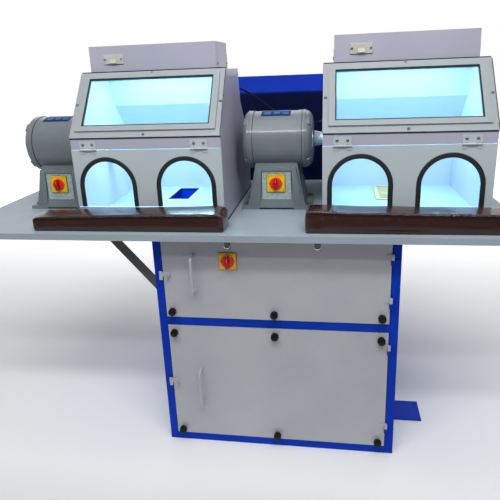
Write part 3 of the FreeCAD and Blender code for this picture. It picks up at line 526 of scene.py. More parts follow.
def addPrism(form, outline, start, end, bevel=0.0):
    # outline is a list of points on one face, moved from start to end
    first = [form.verts.new(Vector(p) + Vector(start)) for p in outline]
    second = [form.verts.new(Vector(p) + Vector(end)) for p in outline]
    form.faces.new(first)
    form.faces.new(second[::-1])
    joinRings(form, first, second)
    if bevel:
        edges = [e for v in first + second for e in v.link_edges]
        roundEdges(form, list(set(edges)), bevel, 2)


def joinRings(form, first, second):
    for i in range(len(first)):
        j = (i + 1) % len(first)
        form.faces.new((first[i], first[j], second[j], second[i]))


def capRings(form, rings):
    for first, second in zip(rings, rings[1:]):
        joinRings(form, first, second)
    form.faces.new(rings[0][::-1])
    form.faces.new(rings[-1])


def addSweep(form, spots, sideways, section):
    # section is (a, b): a along sideways[i], b along the third way
    rings = []
    last = len(spots) - 1
    for i, (spot, side) in enumerate(zip(spots, sideways)):
        ahead = (spots[min(i + 1, last)] - spots[max(i - 1, 0)]).normalized()
        third = ahead.cross(side).normalized()
        rings.append([form.verts.new(spot + side * a + third * b) for a, b in section])
    capRings(form, rings)


def islandsOf(node):
    # the points of each separate solid in a node
    form = bmesh.new()
    form.from_mesh(nodes[node].data)
    bmesh.ops.remove_doubles(form, verts=form.verts, dist=1e-6)
    seen, found = set(), []
    for vert in form.verts:
        if vert in seen:
            continue
        stack, group = [vert], []
        seen.add(vert)
        while stack:
            current = stack.pop()
            group.append(current.co.copy())
            for edge in current.link_edges:
                other = edge.other_vert(current)
                if other not in seen:
                    seen.add(other)
                    stack.append(other)
        found.append(group)
    form.free()
    return found


def boxOf(points):
    low = Vector([min(p[i] for p in points) for i in range(3)])
    high = Vector([max(p[i] for p in points) for i in range(3)])
    return low, high


def boxesOf(node):
    # the box of each separate solid, from left to right
    return sorted((boxOf(points) for points in islandsOf(node)), key=lambda box: box[0].x)


# places taken from the frame
frames = boxesOf("window_frames")
hoodLefts = [b[0].x for b in frames]
hoodWidth = frames[0][1].x - frames[0][0].x
motors = boxesOf("motor_casings")
motorMiddles = [(a + b) / 2 for a, b in motors]
casingRadius = (motors[0][1].z - motors[0][0].z) / 2
casingHalf = (motors[0][1].x - motors[0][0].x) / 2
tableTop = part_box("table_top")[1].z
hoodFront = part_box("flap_left")[1].y
print("hoods at", hoodLefts, "motors at", motorMiddles)


# armrests: stuffed leather over a board
armrest = {
    "voxel": 0.005,
    "start": 0.0025,  # how much smaller than its room the form starts
    "high": 0.050,  # the form's height before it is stuffed
    "corner": 0.0045,
    "pressure": 4.0,
    "steps": 20,
    "swell": 0.0035,  # furthest that stuffing may move a point
    "seamDown": 0.0022,
    "seamBack": 0.0032,  # behind the block's front face
    "fold": 0.0036,  # height of a pucker, and how far from the seam it reaches
    "foldReach": 0.022,
    "stitchDepth": 0.0024,
    "stitchReach": 0.0075,
    "wave": 0.0016,  # slow unevenness of the whole cover
    "bulge": 0.006,  # furthest the front may stand out
    "weltRadius": 0.0015,
    "weltInset": 0.010,
    "weltSpots": 260,
    "stitchRadius": 0.0011,
    "boardInset": 0.006,
    "boardHigh": 0.003,
}
# heights along each cushion from its left end: the front seam, the crest, and how much the seam puckers
cushions = {
    "left": {"seam": (0.040, 0.049, 0.051), "crest": (0.049, 0.057, 0.066), "gather": 0.45, "seed": 4.0},
    "right": {"seam": (0.064, 0.057, 0.054), "crest": (0.068, 0.061, 0.059), "gather": 1.25, "seed": 11.0},
}


def heightAlong(three, share):
    share = min(max(share, 0.0), 1.0) * 2
    first = min(int(share), 1)
    return three[first] + (three[first + 1] - three[first]) * (share - first)


def padForm(name, low, high, look):
    s = look["start"]
    form = bmesh.new()
    lowSpot = (low.x + s, low.y + s, low.z + 0.0005)
    addBox(form, lowSpot, (high.x - s, high.y - s, low.z + look["high"]), look["corner"], 4)
    mesh = bpy.data.meshes.new(name)
    form.to_mesh(mesh)
    form.free()
    return linkPiece(name, mesh)


def settleModifiers(piece):
    graph = bpy.context.evaluated_depsgraph_get()
    fresh = bpy.data.meshes.new_from_object(piece.evaluated_get(graph))
    piece.modifiers.clear()
    piece.data = fresh


def inflatePad(piece, low, look):
    remesh = piece.modifiers.new("skin", "REMESH")
    remesh.mode = "VOXEL"
    remesh.voxel_size = look["voxel"]
    settleModifiers(piece)
    before = [v.co.copy() for v in piece.data.vertices]
    board = piece.vertex_groups.new(name="board")
    board.add([v.index for v in piece.data.vertices if v.co.z < low.z + 0.008], 1.0, "REPLACE")
    cloth = piece.modifiers.new("stuffing", "CLOTH")
    cloth.settings.use_pressure = True
    cloth.settings.uniform_pressure_force = look["pressure"]
    cloth.settings.effector_weights.gravity = 0
    cloth.settings.vertex_group_mass = "board"
    cloth.settings.quality = 6
    cloth.point_cache.frame_start = 1
    cloth.point_cache.frame_end = look["steps"]
    for step in range(1, look["steps"] + 1):
        bpy.context.scene.frame_set(step)
    settleModifiers(piece)
    for vert, start in zip(piece.data.vertices, before):
        move = vert.co - start
        if move.length > look["swell"]:
            vert.co = start + move.normalized() * look["swell"]
    bpy.context.scene.frame_set(1)


def subdividePad(piece):
    smooth = piece.modifiers.new("finer", "SUBSURF")
    smooth.levels = 1
    smooth.render_levels = 1
    settleModifiers(piece)


def seamPucker(x, cushion):
    along = x + 0.004 * noise.noise(Vector((x * 30, cushion["seed"], 2)))
    fold = noise.noise(Vector((along * 62, cushion["seed"] * 3.1, 0)))
    small = noise.noise(Vector((along * 150, cushion["seed"], 5)))
    return fold + 0.6 * small


def shapePad(piece, low, high, look, cushion):
    # raises the top to its real height, crowns it, then pulls the front seam in
    long, deep = high.x - low.x, high.y - low.y
    for vert in piece.data.vertices:
        p = vert.co
        along = (p.x - low.x) / long
        back = min(max((p.y - low.y) / deep, 0.0), 1.0)
        seam, crest = heightAlong(cushion["seam"], along), heightAlong(cushion["crest"], along)
        rise = min(max((p.z - low.z) / look["high"], 0.0), 1.1)
        crown = math.sin(min(back / 0.72, 1.0) * math.pi / 2) - 0.35 * max(0.0, back - 0.78) / 0.22
        ends = min(1.0, min(along, 1 - along) * long / 0.03)
        target = seam + (crest - seam) * crown * (0.35 + 0.65 * ends)
        p.z = min(low.z + (p.z - low.z) * (1 + rise * (target / look["high"] - 1)), low.z + target + 0.0006)
    for vert in piece.data.vertices:
        p = vert.co
        seamZ = low.z + heightAlong(cushion["seam"], (p.x - low.x) / long) - look["seamDown"]
        toSeam = math.hypot(p.y - low.y - look["seamBack"], p.z - seamZ)
        out = Vector((0, p.y - (low.y + high.y) / 2, p.z - low.z - 0.01))
        out.normalize()
        near = max(0.0, 1 - toSeam / look["foldReach"])
        slow = noise.noise(Vector((p.x * 9, p.y * 14, cushion["seed"] + p.z * 12)))
        lift = near * seamPucker(p.x, cushion) * look["fold"] * cushion["gather"]
        if p.z > low.z + 0.012:
            lift += slow * look["wave"] * (0.5 + cushion["gather"])
        lift -= max(0.0, 1 - toSeam / look["stitchReach"]) ** 2 * look["stitchDepth"]
        vert.co = p + out * lift
        vert.co.z = max(vert.co.z, low.z + 0.0004)
        vert.co.y = max(min(vert.co.y, high.y), low.y - look["bulge"])
    piece.data.shade_smooth()


def ringSection(radius, count):
    angles = [2 * math.pi * i / count for i in range(count)]
    return [(radius * math.cos(a), radius * math.sin(a)) for a in angles]


def makeWelt(name, low, high, look, cushion):
    # rolled edge that follows the front seam, and the stitches over it; their near-black colours are painted
    # shade for the seam's puckers
    welt, stitches = bmesh.new(), bmesh.new()
    spots, sides = [], []
    long, inset, count = high.x - low.x, look["weltInset"], look["weltSpots"]
    for i in range(count + 1):
        x = low.x + inset + (long - 2 * inset) * i / count
        wobble = look["fold"] * cushion["gather"] * seamPucker(x, cushion)
        z = low.z + heightAlong(cushion["seam"], (x - low.x) / long) - look["seamDown"]
        spots.append(Vector((x, low.y + 0.0030 - wobble * 0.5, z + 0.0004 + wobble * 0.4)))
        sides.append(Vector((0, -0.7071, 0.7071)))
    addSweep(welt, spots, sides, ringSection(look["weltRadius"], 8))
    shift = Vector((0, -0.0004, 0.0012))
    for i in range(2, count - 2, 2):
        ends = [spots[i] + shift, spots[i + 1] + shift]
        addSweep(stitches, ends, sides[i:i + 2], ringSection(look["stitchRadius"], 4))
    keepMesh("armrest_welt_" + name, welt, seamShadeLeather, rootBody, 60)
    keepMesh("armrest_stitches_" + name, stitches, blackKnobPlastic, rootBody, 0)


def makeArmrests():
    for side, cushion in cushions.items():
        low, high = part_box("armrest_" + side)
        piece = padForm("armrest_pad_" + side, low, high, armrest)
        inflatePad(piece, low, armrest)
        subdividePad(piece)
        shapePad(piece, low, high, armrest, cushion)
        piece.data.materials.clear()
        piece.data.materials.append(padLeather)
        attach(piece, rootBody)
        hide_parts("armrest_" + side)
        makeWelt(side, low, high, armrest, cushion)
        board = bmesh.new()
        inset = armrest["boardInset"]
        lowSpot = (low.x + inset, low.y + inset, low.z + 0.0002)
        highSpot = (high.x - inset, high.y - inset, low.z + armrest["boardHigh"])
        addBox(board, lowSpot, highSpot, 0.001)
        keepMesh("armrest_board_" + side, board, blackKnobPlastic, rootBody)


makeArmrests()
print("armrests stuffed")


# arm hole trim: bulb seal pushed over the edge of the panel
armTrim = {"wide": 0.0145, "thick": 0.0085, "corner": 0.0036, "arcSteps": 40, "legSteps": 5}


def roundedSection(wide, thick, corner, steps=3):
    spots = []
    for cx, cy, start in ((1, 1, 0), (-1, 1, 90), (-1, -1, 180), (1, -1, 270)):
        for i in range(steps + 1):
            angle = math.radians(start + 90 * i / steps)
            spots.append((cx * (wide / 2 - corner) + corner * math.cos(angle),
                          cy * (thick / 2 - corner) + corner * math.sin(angle)))
    return spots


def makeArmTrim(side):
    node = "flap_" + side + "_edging"
    section = roundedSection(armTrim["wide"], armTrim["thick"], armTrim["corner"])
    form = bmesh.new()
    for low, high in boxesOf(node):
        middle, y = (low.x + high.x) / 2, (low.y + high.y) / 2
        radius = (high.x - low.x) / 2 - armTrim["wide"] / 2
        centreZ = high.z - (high.x - low.x) / 2
        legs = [low.z + (centreZ - low.z) * i / armTrim["legSteps"] for i in range(armTrim["legSteps"])]
        spots = [Vector((middle - radius, y, z)) for z in legs]
        sides = [Vector((-1, 0, 0))] * len(legs)
        for i in range(armTrim["arcSteps"] + 1):
            angle = math.pi * (1 - i / armTrim["arcSteps"])
            outwards = Vector((math.cos(angle), 0, math.sin(angle)))
            spots.append(Vector((middle, y, centreZ)) + outwards * radius)
            sides.append(outwards)
        spots += [Vector((middle + radius, y, z)) for z in reversed(legs)]
        sides += [Vector((1, 0, 0))] * len(legs)
        addSweep(form, spots, sides, section)
    piece = keepMesh("arm_hole_trim_" + side, form, blackRubber, "flap_" + side)
    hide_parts(node)


for side in ("left", "right"):
    makeArmTrim(side)
print("arm hole trim made")


# motors: round end covers, bands, nameplate, pedestal surround
motorLook = {
    "skin": 0.0945,  # radius of the casing's smooth surface
    "ringRadius": 0.0975, "ringWide": 0.012, "domeSteps": 9, "domeFoot": 0.060, "shaftHole": 0.0275,
    "bandRadius": 0.0966, "bandWide": 0.012,
    "seamRadius": 0.0977, "seamWide": 0.0012, "seamAt": -0.075,  # left of the middle
    "rib": -24.0, "ribRadius": 0.0948, "ribInset": 0.016,  # long seam, degrees above the front
    "lugs": 4, "lugWide": 0.026, "screwAt": 0.0835,
    "plateHalf": 0.049, "plateFrom": -4.0, "plateTo": 30.0,  # degrees forward of the top
    "rivetAt": 0.045,
    # lighter fields of the nameplate: middle, half width, from and to in degrees
    "panels": ((-0.028, 0.011, 14.0, 25.0), (0.003, 0.009, 14.0, 24.0),
               (0.032, 0.010, 17.0, 25.0), (0.026, 0.018, 0.0, 10.0)),
    "borderProud": 0.0032, "borderDeep": 0.034, "borderGap": 0.006,
    "borderFoot": 0.0930, "borderTop": 0.0665,  # half widths
}


def domeProfile(look, end):
    # (distance out from the casing's end, radius)
    ring, rim = min(look["ringWide"], end * 0.3), look["ringRadius"]
    first, last, rise = look["skin"], look["domeFoot"], end - ring - 0.001
    spots = [(0.0, 0.0), (0.0, rim - 0.001), (0.0012, rim), (ring - 0.0012, rim),
             (ring, rim - 0.0012), (ring, first)]
    for i in range(1, look["domeSteps"] + 1):
        angle = math.pi / 2 * i / look["domeSteps"]
        spots.append((ring + rise * math.sin(angle), last + (first - last) * math.cos(angle)))
    spots += [(end - 0.0006, 0.056), (end, 0.052)]
    return spots


def makeEndCovers():
    form, lugs, screws = bmesh.new(), bmesh.new(), bmesh.new()
    for number, (low, high) in enumerate(boxesOf("motor_end_bells")):
        way = -1 if number % 2 == 0 else 1
        start = high.x if way < 0 else low.x
        end = high.x - low.x
        y, z = (low.y + high.y) / 2, (low.z + high.z) / 2
        profile = domeProfile(motorLook, end)
        if way > 0:  # the shaft's side
            hole = motorLook["shaftHole"]
            profile += [(end, hole), (end - 0.004, hole), (end - 0.004, 0.0)]
        else:
            profile += [(end, 0.0)]
        addLathe(form, profile, (start, y, z), (way, 0, 0), 64)
        for i in range(motorLook["lugs"]):
            addLug(lugs, screws, Vector((start, y, z)), way, math.radians(45 + 90 * i), end)
    cover = keepMesh("motor_end_covers", form, motorPaint, rootBody, 35)
    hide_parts("motor_end_bells")
    keepMesh("motor_lugs", lugs, motorPaint, rootBody, 30)
    keepMesh("motor_cover_screws", screws, screwSteel, rootBody, 30)


def addLug(form, screws, base, way, angle, end):
    # a ramp on the dome that carries the through screw
    outward = Vector((0, math.cos(angle), math.sin(angle)))
    across = Vector((0, -math.sin(angle), math.cos(angle)))
    axis = Vector((way, 0, 0))
    half = motorLook["lugWide"] / 2
    side = [(0.25, 0.070), (0.25, 0.0955), (0.66, 0.0945), (0.76, 0.0910), (0.76, 0.070)]
    outline = [base + axis * (a * end) + outward * r - across * half for a, r in side]
    addPrism(form, outline, (0, 0, 0), across * half * 2, 0.0018)
    addLathe(screws, [(0.0, 0.0), (0.0, 0.0046), (0.0020, 0.0044), (0.0030, 0.003), (0.0030, 0.0)],
             base + axis * (0.75 * end) + outward * motorLook["screwAt"], axis, 20)


def makeBands():
    # a band at each end of the casing, one long rib and two dark seams
    form, seams = bmesh.new(), bmesh.new()
    r, w, skin = motorLook["bandRadius"], motorLook["bandWide"], motorLook["skin"]
    band = [(0, skin), (0, r), (-w, r), (-w - 0.0012, skin)]
    half, under = motorLook["seamWide"] / 2, skin - 0.0005
    ring = [(-half, under), (-half, motorLook["seamRadius"]), (half, motorLook["seamRadius"]), (half, under)]
    angle = math.radians(motorLook["rib"])
    outward = Vector((0, -math.cos(angle), math.sin(angle)))
    reach = casingHalf - motorLook["ribInset"]
    for centre in motorMiddles:
        for way in (-1, 1):
            start = centre + Vector((way * (casingHalf - 0.0002), 0, 0))
            addLathe(form, band, start, (way, 0, 0), 72, True)
        spots = [centre + Vector((x, 0, 0)) + outward * motorLook["ribRadius"] for x in (-reach, reach)]
        addSweep(form, spots, [outward, outward], roundedSection(0.0016, 0.003, 0.0007))
        for along in (motorLook["seamAt"], casingHalf):
            addLathe(seams, ring, centre + Vector((along, 0, 0)), (1, 0, 0), 72, True)
    keepMesh("motor_bands", form, motorPaint, rootBody, 35)
    keepMesh("motor_seams", seams, blackRubber, rootBody, 35)


def curvedPatch(form, middle, half, y, z, radius, fromAngle, toAngle, thick, steps=8):
    # patch on a cylinder along X; angles are degrees forward of the top
    rows = []
    for lift in (0.0, thick):
        row = []
        for i in range(steps + 1):
            angle = math.radians(fromAngle + (toAngle - fromAngle) * i / steps)
            back, up = (radius + lift) * math.sin(angle), (radius + lift) * math.cos(angle)
            row.append([form.verts.new((middle + s * half, y - back, z + up)) for s in (-1, 1)])
        rows.append(row)
    under, over = rows
    for i in range(steps):
        form.faces.new((over[i][0], over[i][1], over[i + 1][1], over[i + 1][0]))
        form.faces.new((under[i][1], under[i][0], under[i + 1][0], under[i + 1][1]))
        form.faces.new((under[i][0], over[i][0], over[i + 1][0], under[i + 1][0]))
        form.faces.new((over[i][1], under[i][1], under[i + 1][1], over[i + 1][1]))
    form.faces.new((under[0][0], under[0][1], over[0][1], over[0][0]))
    form.faces.new((under[-1][1], under[-1][0], over[-1][0], over[-1][1]))


def makeNameplates():
    plate, panels, rivets = bmesh.new(), bmesh.new(), bmesh.new()
    a, b = motorLook["plateFrom"], motorLook["plateTo"]
    for centre in motorMiddles:
        middle, y, z = centre
        curvedPatch(plate, middle, motorLook["plateHalf"], y, z, casingRadius - 0.0002, a, b, 0.0012)
        for offset, half, start, end in motorLook["panels"]:
            curvedPatch(panels, middle + offset, half, y, z, casingRadius + 0.0008, start, end, 0.0005)
        for dx in (-motorLook["rivetAt"], motorLook["rivetAt"]):
            for angle in (a + 3, b - 3):
                turn = math.radians(angle)
                outward = Vector((0, -math.sin(turn), math.cos(turn)))
                spot = Vector((middle + dx, y, z)) + outward * (casingRadius + 0.0009)
                addLathe(rivets, [(0, 0), (0, 0.0014), (0.0006, 0.0011), (0.0009, 0)], spot, outward, 12)
    keepMesh("motor_nameplates", plate, plateBlue, rootBody)
    keepMesh("motor_nameplate_panels", panels, plateLightBlue, rootBody)
    keepMesh("motor_nameplate_rivets", rivets, screwSteel, rootBody)


def makePedestalBorders():
    # raised border cast round each cover plate
    form = bmesh.new()
    foot, top, gap = (motorLook[k] for k in ("borderFoot", "borderTop", "borderGap"))
    stands, plates = boxesOf("motor_pedestals"), boxesOf("motor_cover_plates")
    for (standLow, standHigh), (plateLow, plateHigh) in zip(stands, plates):
        middle = (standLow.x + standHigh.x) / 2
        front, back = plateLow.y - motorLook["borderProud"], plateLow.y + motorLook["borderDeep"]
        footZ, topZ = standLow.z + 0.012, plateHigh.z + 0.014
        left, right = plateLow.x - 0.0015, plateHigh.x + 0.0015
        for edge, way in ((left, -1), (right, 1)):
            outline = [(middle + way * foot, footZ), (middle + way * top, topZ),
                       (edge, topZ), (edge + way * gap, footZ)]
            addPrism(form, [(x, front, z) for x, z in outline], (0, 0, 0), (0, back - front, 0), 0.0022)
        addBox(form, (left - 0.002, front, plateHigh.z + 0.001), (right + 0.002, back, topZ), 0.0022)
        addBox(form, (left - gap, front + 0.003, footZ), (right + gap, back, plateLow.z - 0.001), 0.0022)
    keepMesh("pedestal_borders", form, castPaint, rootBody, 30)


makeEndCovers()
makeBands()
makeNameplates()
makePedestalBorders()
print("motors dressed")


# rotary switches: round dial, tapered grip and pointer
rotaryLook = {
    "dialRadius": 0.0205, "dialHigh": 0.006, "gripLong": 0.0190, "gripHigh": 0.0185,
    "gripHalf": 0.0068, "tipHalf": 0.0040, "heelHalf": 0.0052, "markHalf": 0.0006,
}
plateLook = {
    "inset": 0.0022, "rimHalf": 0.0009, "tickRadius": 0.0225, "tickHalf": 0.0012, "screwInset": 0.006,
}


def makeRotaryKnob(node):
    low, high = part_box(node)
    centre = Vector(((low.x + high.x) / 2, high.y, (low.z + high.z) / 2))
    r, h, long, tall = (rotaryLook[k] for k in ("dialRadius", "dialHigh", "gripLong", "gripHigh"))
    wide, tip, heel = (rotaryLook[k] for k in ("gripHalf", "tipHalf", "heelHalf"))
    form = bmesh.new()
    profile = [(0, 0), (0, r), (h - 0.0016, r), (h - 0.0004, r - 0.0012), (h, r - 0.003), (h, 0)]
    addLathe(form, profile, centre, (0, -1, 0), 40)
    handle = bmesh.new()
    grip = [(-heel, -long), (heel, -long), (wide, 0.0), (tip, long * 0.9), (0.0, long),
            (-tip, long * 0.9), (-wide, 0.0)]
    outline = [centre + Vector((x, -h + 0.0005, z)) for x, z in grip]
    addPrism(handle, outline, (0, 0, 0), (0, -(tall - h), 0), 0.0014)
    piece = keepMesh(node + "_dial", form, redPlastic, node, 35)
    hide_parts(node)
    keepMesh(node + "_grip", handle, gripRedShaded, node, 35)
    mark = bmesh.new()
    face, half = centre.y - tall, rotaryLook["markHalf"]
    lowSpot = (centre.x - half, face - 0.0003, centre.z + 0.004)
    highSpot = (centre.x + half, face + 0.0002, centre.z + long * 0.8)
    addBox(mark, lowSpot, highSpot, 0.0001, 1)
    keepMesh(node + "_mark", mark, switchPlastic, node, 0)


def makePlateDetails(name, node, body):
    # moulded rim, two screws, three position ticks and a gasket on each yellow plate
    rim, screws, ticks, gasket = bmesh.new(), bmesh.new(), bmesh.new(), bmesh.new()
    screwProfile = [(0, 0), (0, 0.0019), (0.0006, 0.0018), (0.001, 0.0010), (0.001, 0)]
    for low, high in boxesOf(node):
        cx, cz, y = (low.x + high.x) / 2, (low.z + high.z) / 2, low.y
        w = (high.x - low.x) / 2
        r, t = w - plateLook["inset"], plateLook["rimHalf"]
        for x0, x1, z0, z1 in ((-r, r, -r, -r), (r, r, -r, r), (-r, r, r, r), (-r, -r, -r, r)):
            lowSpot = (cx + x0 - t, y - 0.0010, cz + z0 - t)
            addBox(rim, lowSpot, (cx + x1 + t, y + 0.0004, cz + z1 + t), 0.0004, 2)
        t = plateLook["tickHalf"]
        for angle in (90, 0, 180):
            turn = math.radians(angle)
            x = cx + plateLook["tickRadius"] * math.cos(turn)
            z = cz + plateLook["tickRadius"] * math.sin(turn)
            addBox(ticks, (x - t, y - 0.0004, z - t), (x + t, y + 0.0002, z + t), 0.0003, 1)
        for a in (-1, 1):
            r = a * (w - plateLook["screwInset"])
            addLathe(screws, screwProfile, (cx + r, y, cz - r), (0, -1, 0), 16)
        lowSpot = (low.x - 0.0014, high.y - 0.0016, low.z - 0.0018)
        addBox(gasket, lowSpot, (high.x + 0.0014, high.y, high.z + 0.0010), 0.0003, 1)
    keepMesh(name + "_rim", rim, yellowPlastic, body, 30)
    keepMesh(name + "_gasket", gasket, blackRubber, body, 0)
    keepMesh(name + "_ticks", ticks, blackKnobPlastic, body, 0)
    keepMesh(name + "_screws", screws, screwSteel, body, 30)


for knobNode in ("isolator_knob", "switch_knob_left", "switch_knob_right"):
    makeRotaryKnob(knobNode)
makePlateDetails("motor_plate", "motor_switch_plates", rootBody)
makePlateDetails("isolator", "isolator_plate", "upper_door")
print("switches made")


# clamp knobs: fluted grips on a washer
knobLook = {
    "flutes": 10, "radius": 0.0125, "flute": 0.0011, "steps": 60,
    "washer": 0.008, "stem": 0.0038, "stemLong": 0.016,
    "lift": 0.00025,  # the washer's gap to the door's face
    "heights": ((0.003, 0.9), (0.0042, 1.0), (0.0165, 1.0), (0.0188, 0.93), (0.0199, 0.78)),
}
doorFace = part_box("isolator_plate")[1].y


def makeClampKnob(number):
    node = "clamp_knob_%d" % number
    low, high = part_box(node)
    cx, cz = (low.x + high.x) / 2, (low.z + high.z) / 2
    seat = doorFace - knobLook["lift"]
    form = bmesh.new()
    rings = []
    for up, share in knobLook["heights"]:
        ring = []
        for step in range(knobLook["steps"]):
            angle = 2 * math.pi * step / knobLook["steps"]
            groove = knobLook["flute"] * (0.5 + 0.5 * math.cos(angle * knobLook["flutes"]))
            r = (knobLook["radius"] - groove) * share
            ring.append(form.verts.new((cx + r * math.cos(angle), seat - up, cz + r * math.sin(angle))))
        rings.append(ring)
    capRings(form, rings)
    washer, stem, long = (knobLook[k] for k in ("washer", "stem", "stemLong"))
    addLathe(form, [(0, 0), (0, washer), (0.0031, washer), (0.0031, 0)], (cx, seat, cz), (0, -1, 0), 32)
    addLathe(form, [(-long, 0), (-long, stem), (0.0, stem), (0.0, 0)], (cx, doorFace, cz), (0, -1, 0), 20)
    piece = keepMesh(node + "_grip", form, blackKnobPlastic, node, 35)
    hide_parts(node)


for number in range(1, 10):
    makeClampKnob(number)
print("clamp knobs made")


# screws: domed heads with a recess, hexagons on the motor feet
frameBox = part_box("window_frames")
slopeRun = Vector((0, frameBox[1].y - frameBox[0].y, frameBox[1].z - frameBox[0].z)).normalized()
windowOut = Vector((0, -slopeRun.z, slopeRun.y))
screwLook = {
    "boltFrom": 0.014,  # heads wider than this are the motors' foot bolts
    "boltRadius": 0.0079, "slopeRadius": 0.004, "slopeHigh": 0.0025, "spread": 1.12,
}


def thinWay(points):
    # the way a head faces: across its flat side, or square to the window when it is tilted
    low, high = boxOf(points)
    size = high - low
    middle = (low + high) / 2
    order = sorted(range(3), key=lambda i: size[i])
    way = Vector((0, 0, 0))
    if size[order[0]] < 0.75 * size[order[1]]:
        way[order[0]] = 1
    else:
        way = windowOut.copy()
    if abs(way.x) > 0.9:
        lefts = [x for x in hoodLefts if x - 0.05 < middle.x < x + hoodWidth + 0.05]
        way.x = -1 if middle.x < lefts[0] + hoodWidth / 2 else 1
    elif abs(way.y) > 0.9:
        way.y = -1
    return middle, way, size


def addDomeScrew(form, seat, way, radius, high):
    profile = [(0, 0), (0, radius), (high * 0.35, radius * 0.98), (high * 0.75, radius * 0.8),
               (high, radius * 0.42), (high - 0.0007, radius * 0.3), (high - 0.0007, 0)]
    addLathe(form, profile, seat, way, 24)


def addHexBolt(form, seat, way, radius, high):
    washer, flat = 0.0016, radius * 0.86
    addLathe(form, [(0, 0), (0, radius), (washer, radius), (washer, 0)], seat, way, 28)
    head = [(washer, 0), (washer, flat), (high - 0.001, flat), (high, radius * 0.74), (high, 0)]
    addLathe(form, head, seat, way, 6)


def makeScrews():
    form = bmesh.new()
    for group in islandsOf("machine_screws"):
        middle, way, size = thinWay(group)
        if max(size) > screwLook["boltFrom"]:
            seat = middle - Vector((0, 0, size.z / 2))
            addHexBolt(form, seat, (0, 0, 1), screwLook["boltRadius"], size.z)
            continue
        tilted = 0.3 <= abs(way.z) <= 0.9
        radius = screwLook["spread"] * (screwLook["slopeRadius"] if tilted else max(size) / 2)
        high = screwLook["slopeHigh"] if tilted else min(size)
        addDomeScrew(form, middle - way * high / 2, way, radius, high)
    piece = keepMesh("screw_heads", form, screwSteel, rootBody, 35)
    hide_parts("machine_screws")


makeScrews()
print("screws made")


# hood details: roof flanges, gasket lines, foot gaskets, slot rim
hoodLook = {
    "flangeDeep": 0.027, "flangeThick": 0.0012, "roofBack": 0.040,
    "slopeFoot": (-0.292, 1.053),  # y and z where the slope starts
    "footGasket": 0.0045, "sideGasket": 0.0018, "roofGasket": 0.0030,
    "underWindow": ((-0.2938, 1.0512), (-0.2895, 1.0538)),  # y and z of the line's corners
    "slopeLong": 0.2300,
}


def makeHoodDetails():
    white, black = bmesh.new(), bmesh.new()
    cheeks = boxesOf("hood_cheeks")
    backY, roofZ = cheeks[0][1].yz
    roofFront, roofBack = frameBox[1].y + 0.004, hoodLook["roofBack"]
    footY, footZ = hoodLook["slopeFoot"]
    deep = hoodLook["flangeDeep"]
    run = deep * (roofFront - footY) / (roofZ - footZ)
    for number, (low, high) in enumerate(cheeks):
        way = -1 if number % 2 == 0 else 1
        x = low.x if way < 0 else high.x
        x0, x1 = sorted((x, x + way * hoodLook["flangeThick"]))
        outline = [(x0, roofFront - run, roofZ - deep), (x0, roofFront, roofZ),
                   (x0, roofBack, roofZ), (x0, roofBack + 0.008, roofZ - deep)]
        addPrism(white, outline, (0, 0, 0), (x1 - x0, 0, 0), 0.0003)
        x0, x1 = sorted((x, x + way * hoodLook["sideGasket"]))
        addBox(black, (x0, hoodFront + 0.001, low.z), (x1, backY, low.z + hoodLook["footGasket"]), 0.0006, 1)
    lineTop = max(frameBox[1].z, roofZ) + hoodLook["roofGasket"]
    (lineY0, lineZ0), (lineY1, lineZ1) = hoodLook["underWindow"]
    frameFoot = Vector((0, frameBox[0].y, frameBox[0].z + 0.003))
    edge = [frameFoot + windowOut * up for up in (0.0002, 0.0030)]
    top = [p + slopeRun * hoodLook["slopeLong"] for p in edge]
    for x in hoodLefts:
        inner, outer = x + 0.0005, x + hoodWidth - 0.0005
        lines = [  # over the roof's front edge, under the arm hole panel, under the window
            ((inner, roofFront - 0.0005, roofZ - 0.0002), (outer, roofFront + 0.0045, lineTop), 0.0004),
            ((inner, hoodFront - 0.0012, tableTop), (outer, hoodFront - 0.0001, tableTop + 0.003), 0.0003),
            ((inner - 0.001, lineY0, lineZ0), (outer + 0.001, lineY1, lineZ1), 0.0005)]
        for lowSpot, highSpot, bevel in lines:
            addBox(black, lowSpot, highSpot, bevel, 1)
        outline = [Vector((outer - 0.0002, p.y, p.z)) for p in (edge[0], edge[1], top[1], top[0])]
        addPrism(black, outline, (0, 0, 0), (0.0012, 0, 0))
    keepMesh("hood_flanges", white, hoodPaint, rootBody, 30)
    keepMesh("hood_gaskets", black, blackRubber, rootBody, 30)


slotRim = {"x": (0.195, 0.275), "y": (0.015, 0.200), "wide": 0.014, "high": 0.0014}


def makeSlotRim():
    # folded edge round the open slot; x counts from the left hood's side
    rim = bmesh.new()
    x0, x1 = (hoodLefts[0] + x for x in slotRim["x"])
    y0, y1 = slotRim["y"]
    wide, top = slotRim["wide"], tableTop + slotRim["high"]
    for a, b, c, d in ((x0 - wide, x1 + wide, y0 - wide, y0), (x0 - wide, x1 + wide, y1, y1 + wide),
                       (x0 - wide, x0, y0, y1), (x1, x1 + wide, y0, y1)):
        addBox(rim, (a, c, tableTop + 0.0001), (b, d, top), 0.0004, 1)
    keepMesh("slot_rim", rim, hoodPaint, rootBody, 30)


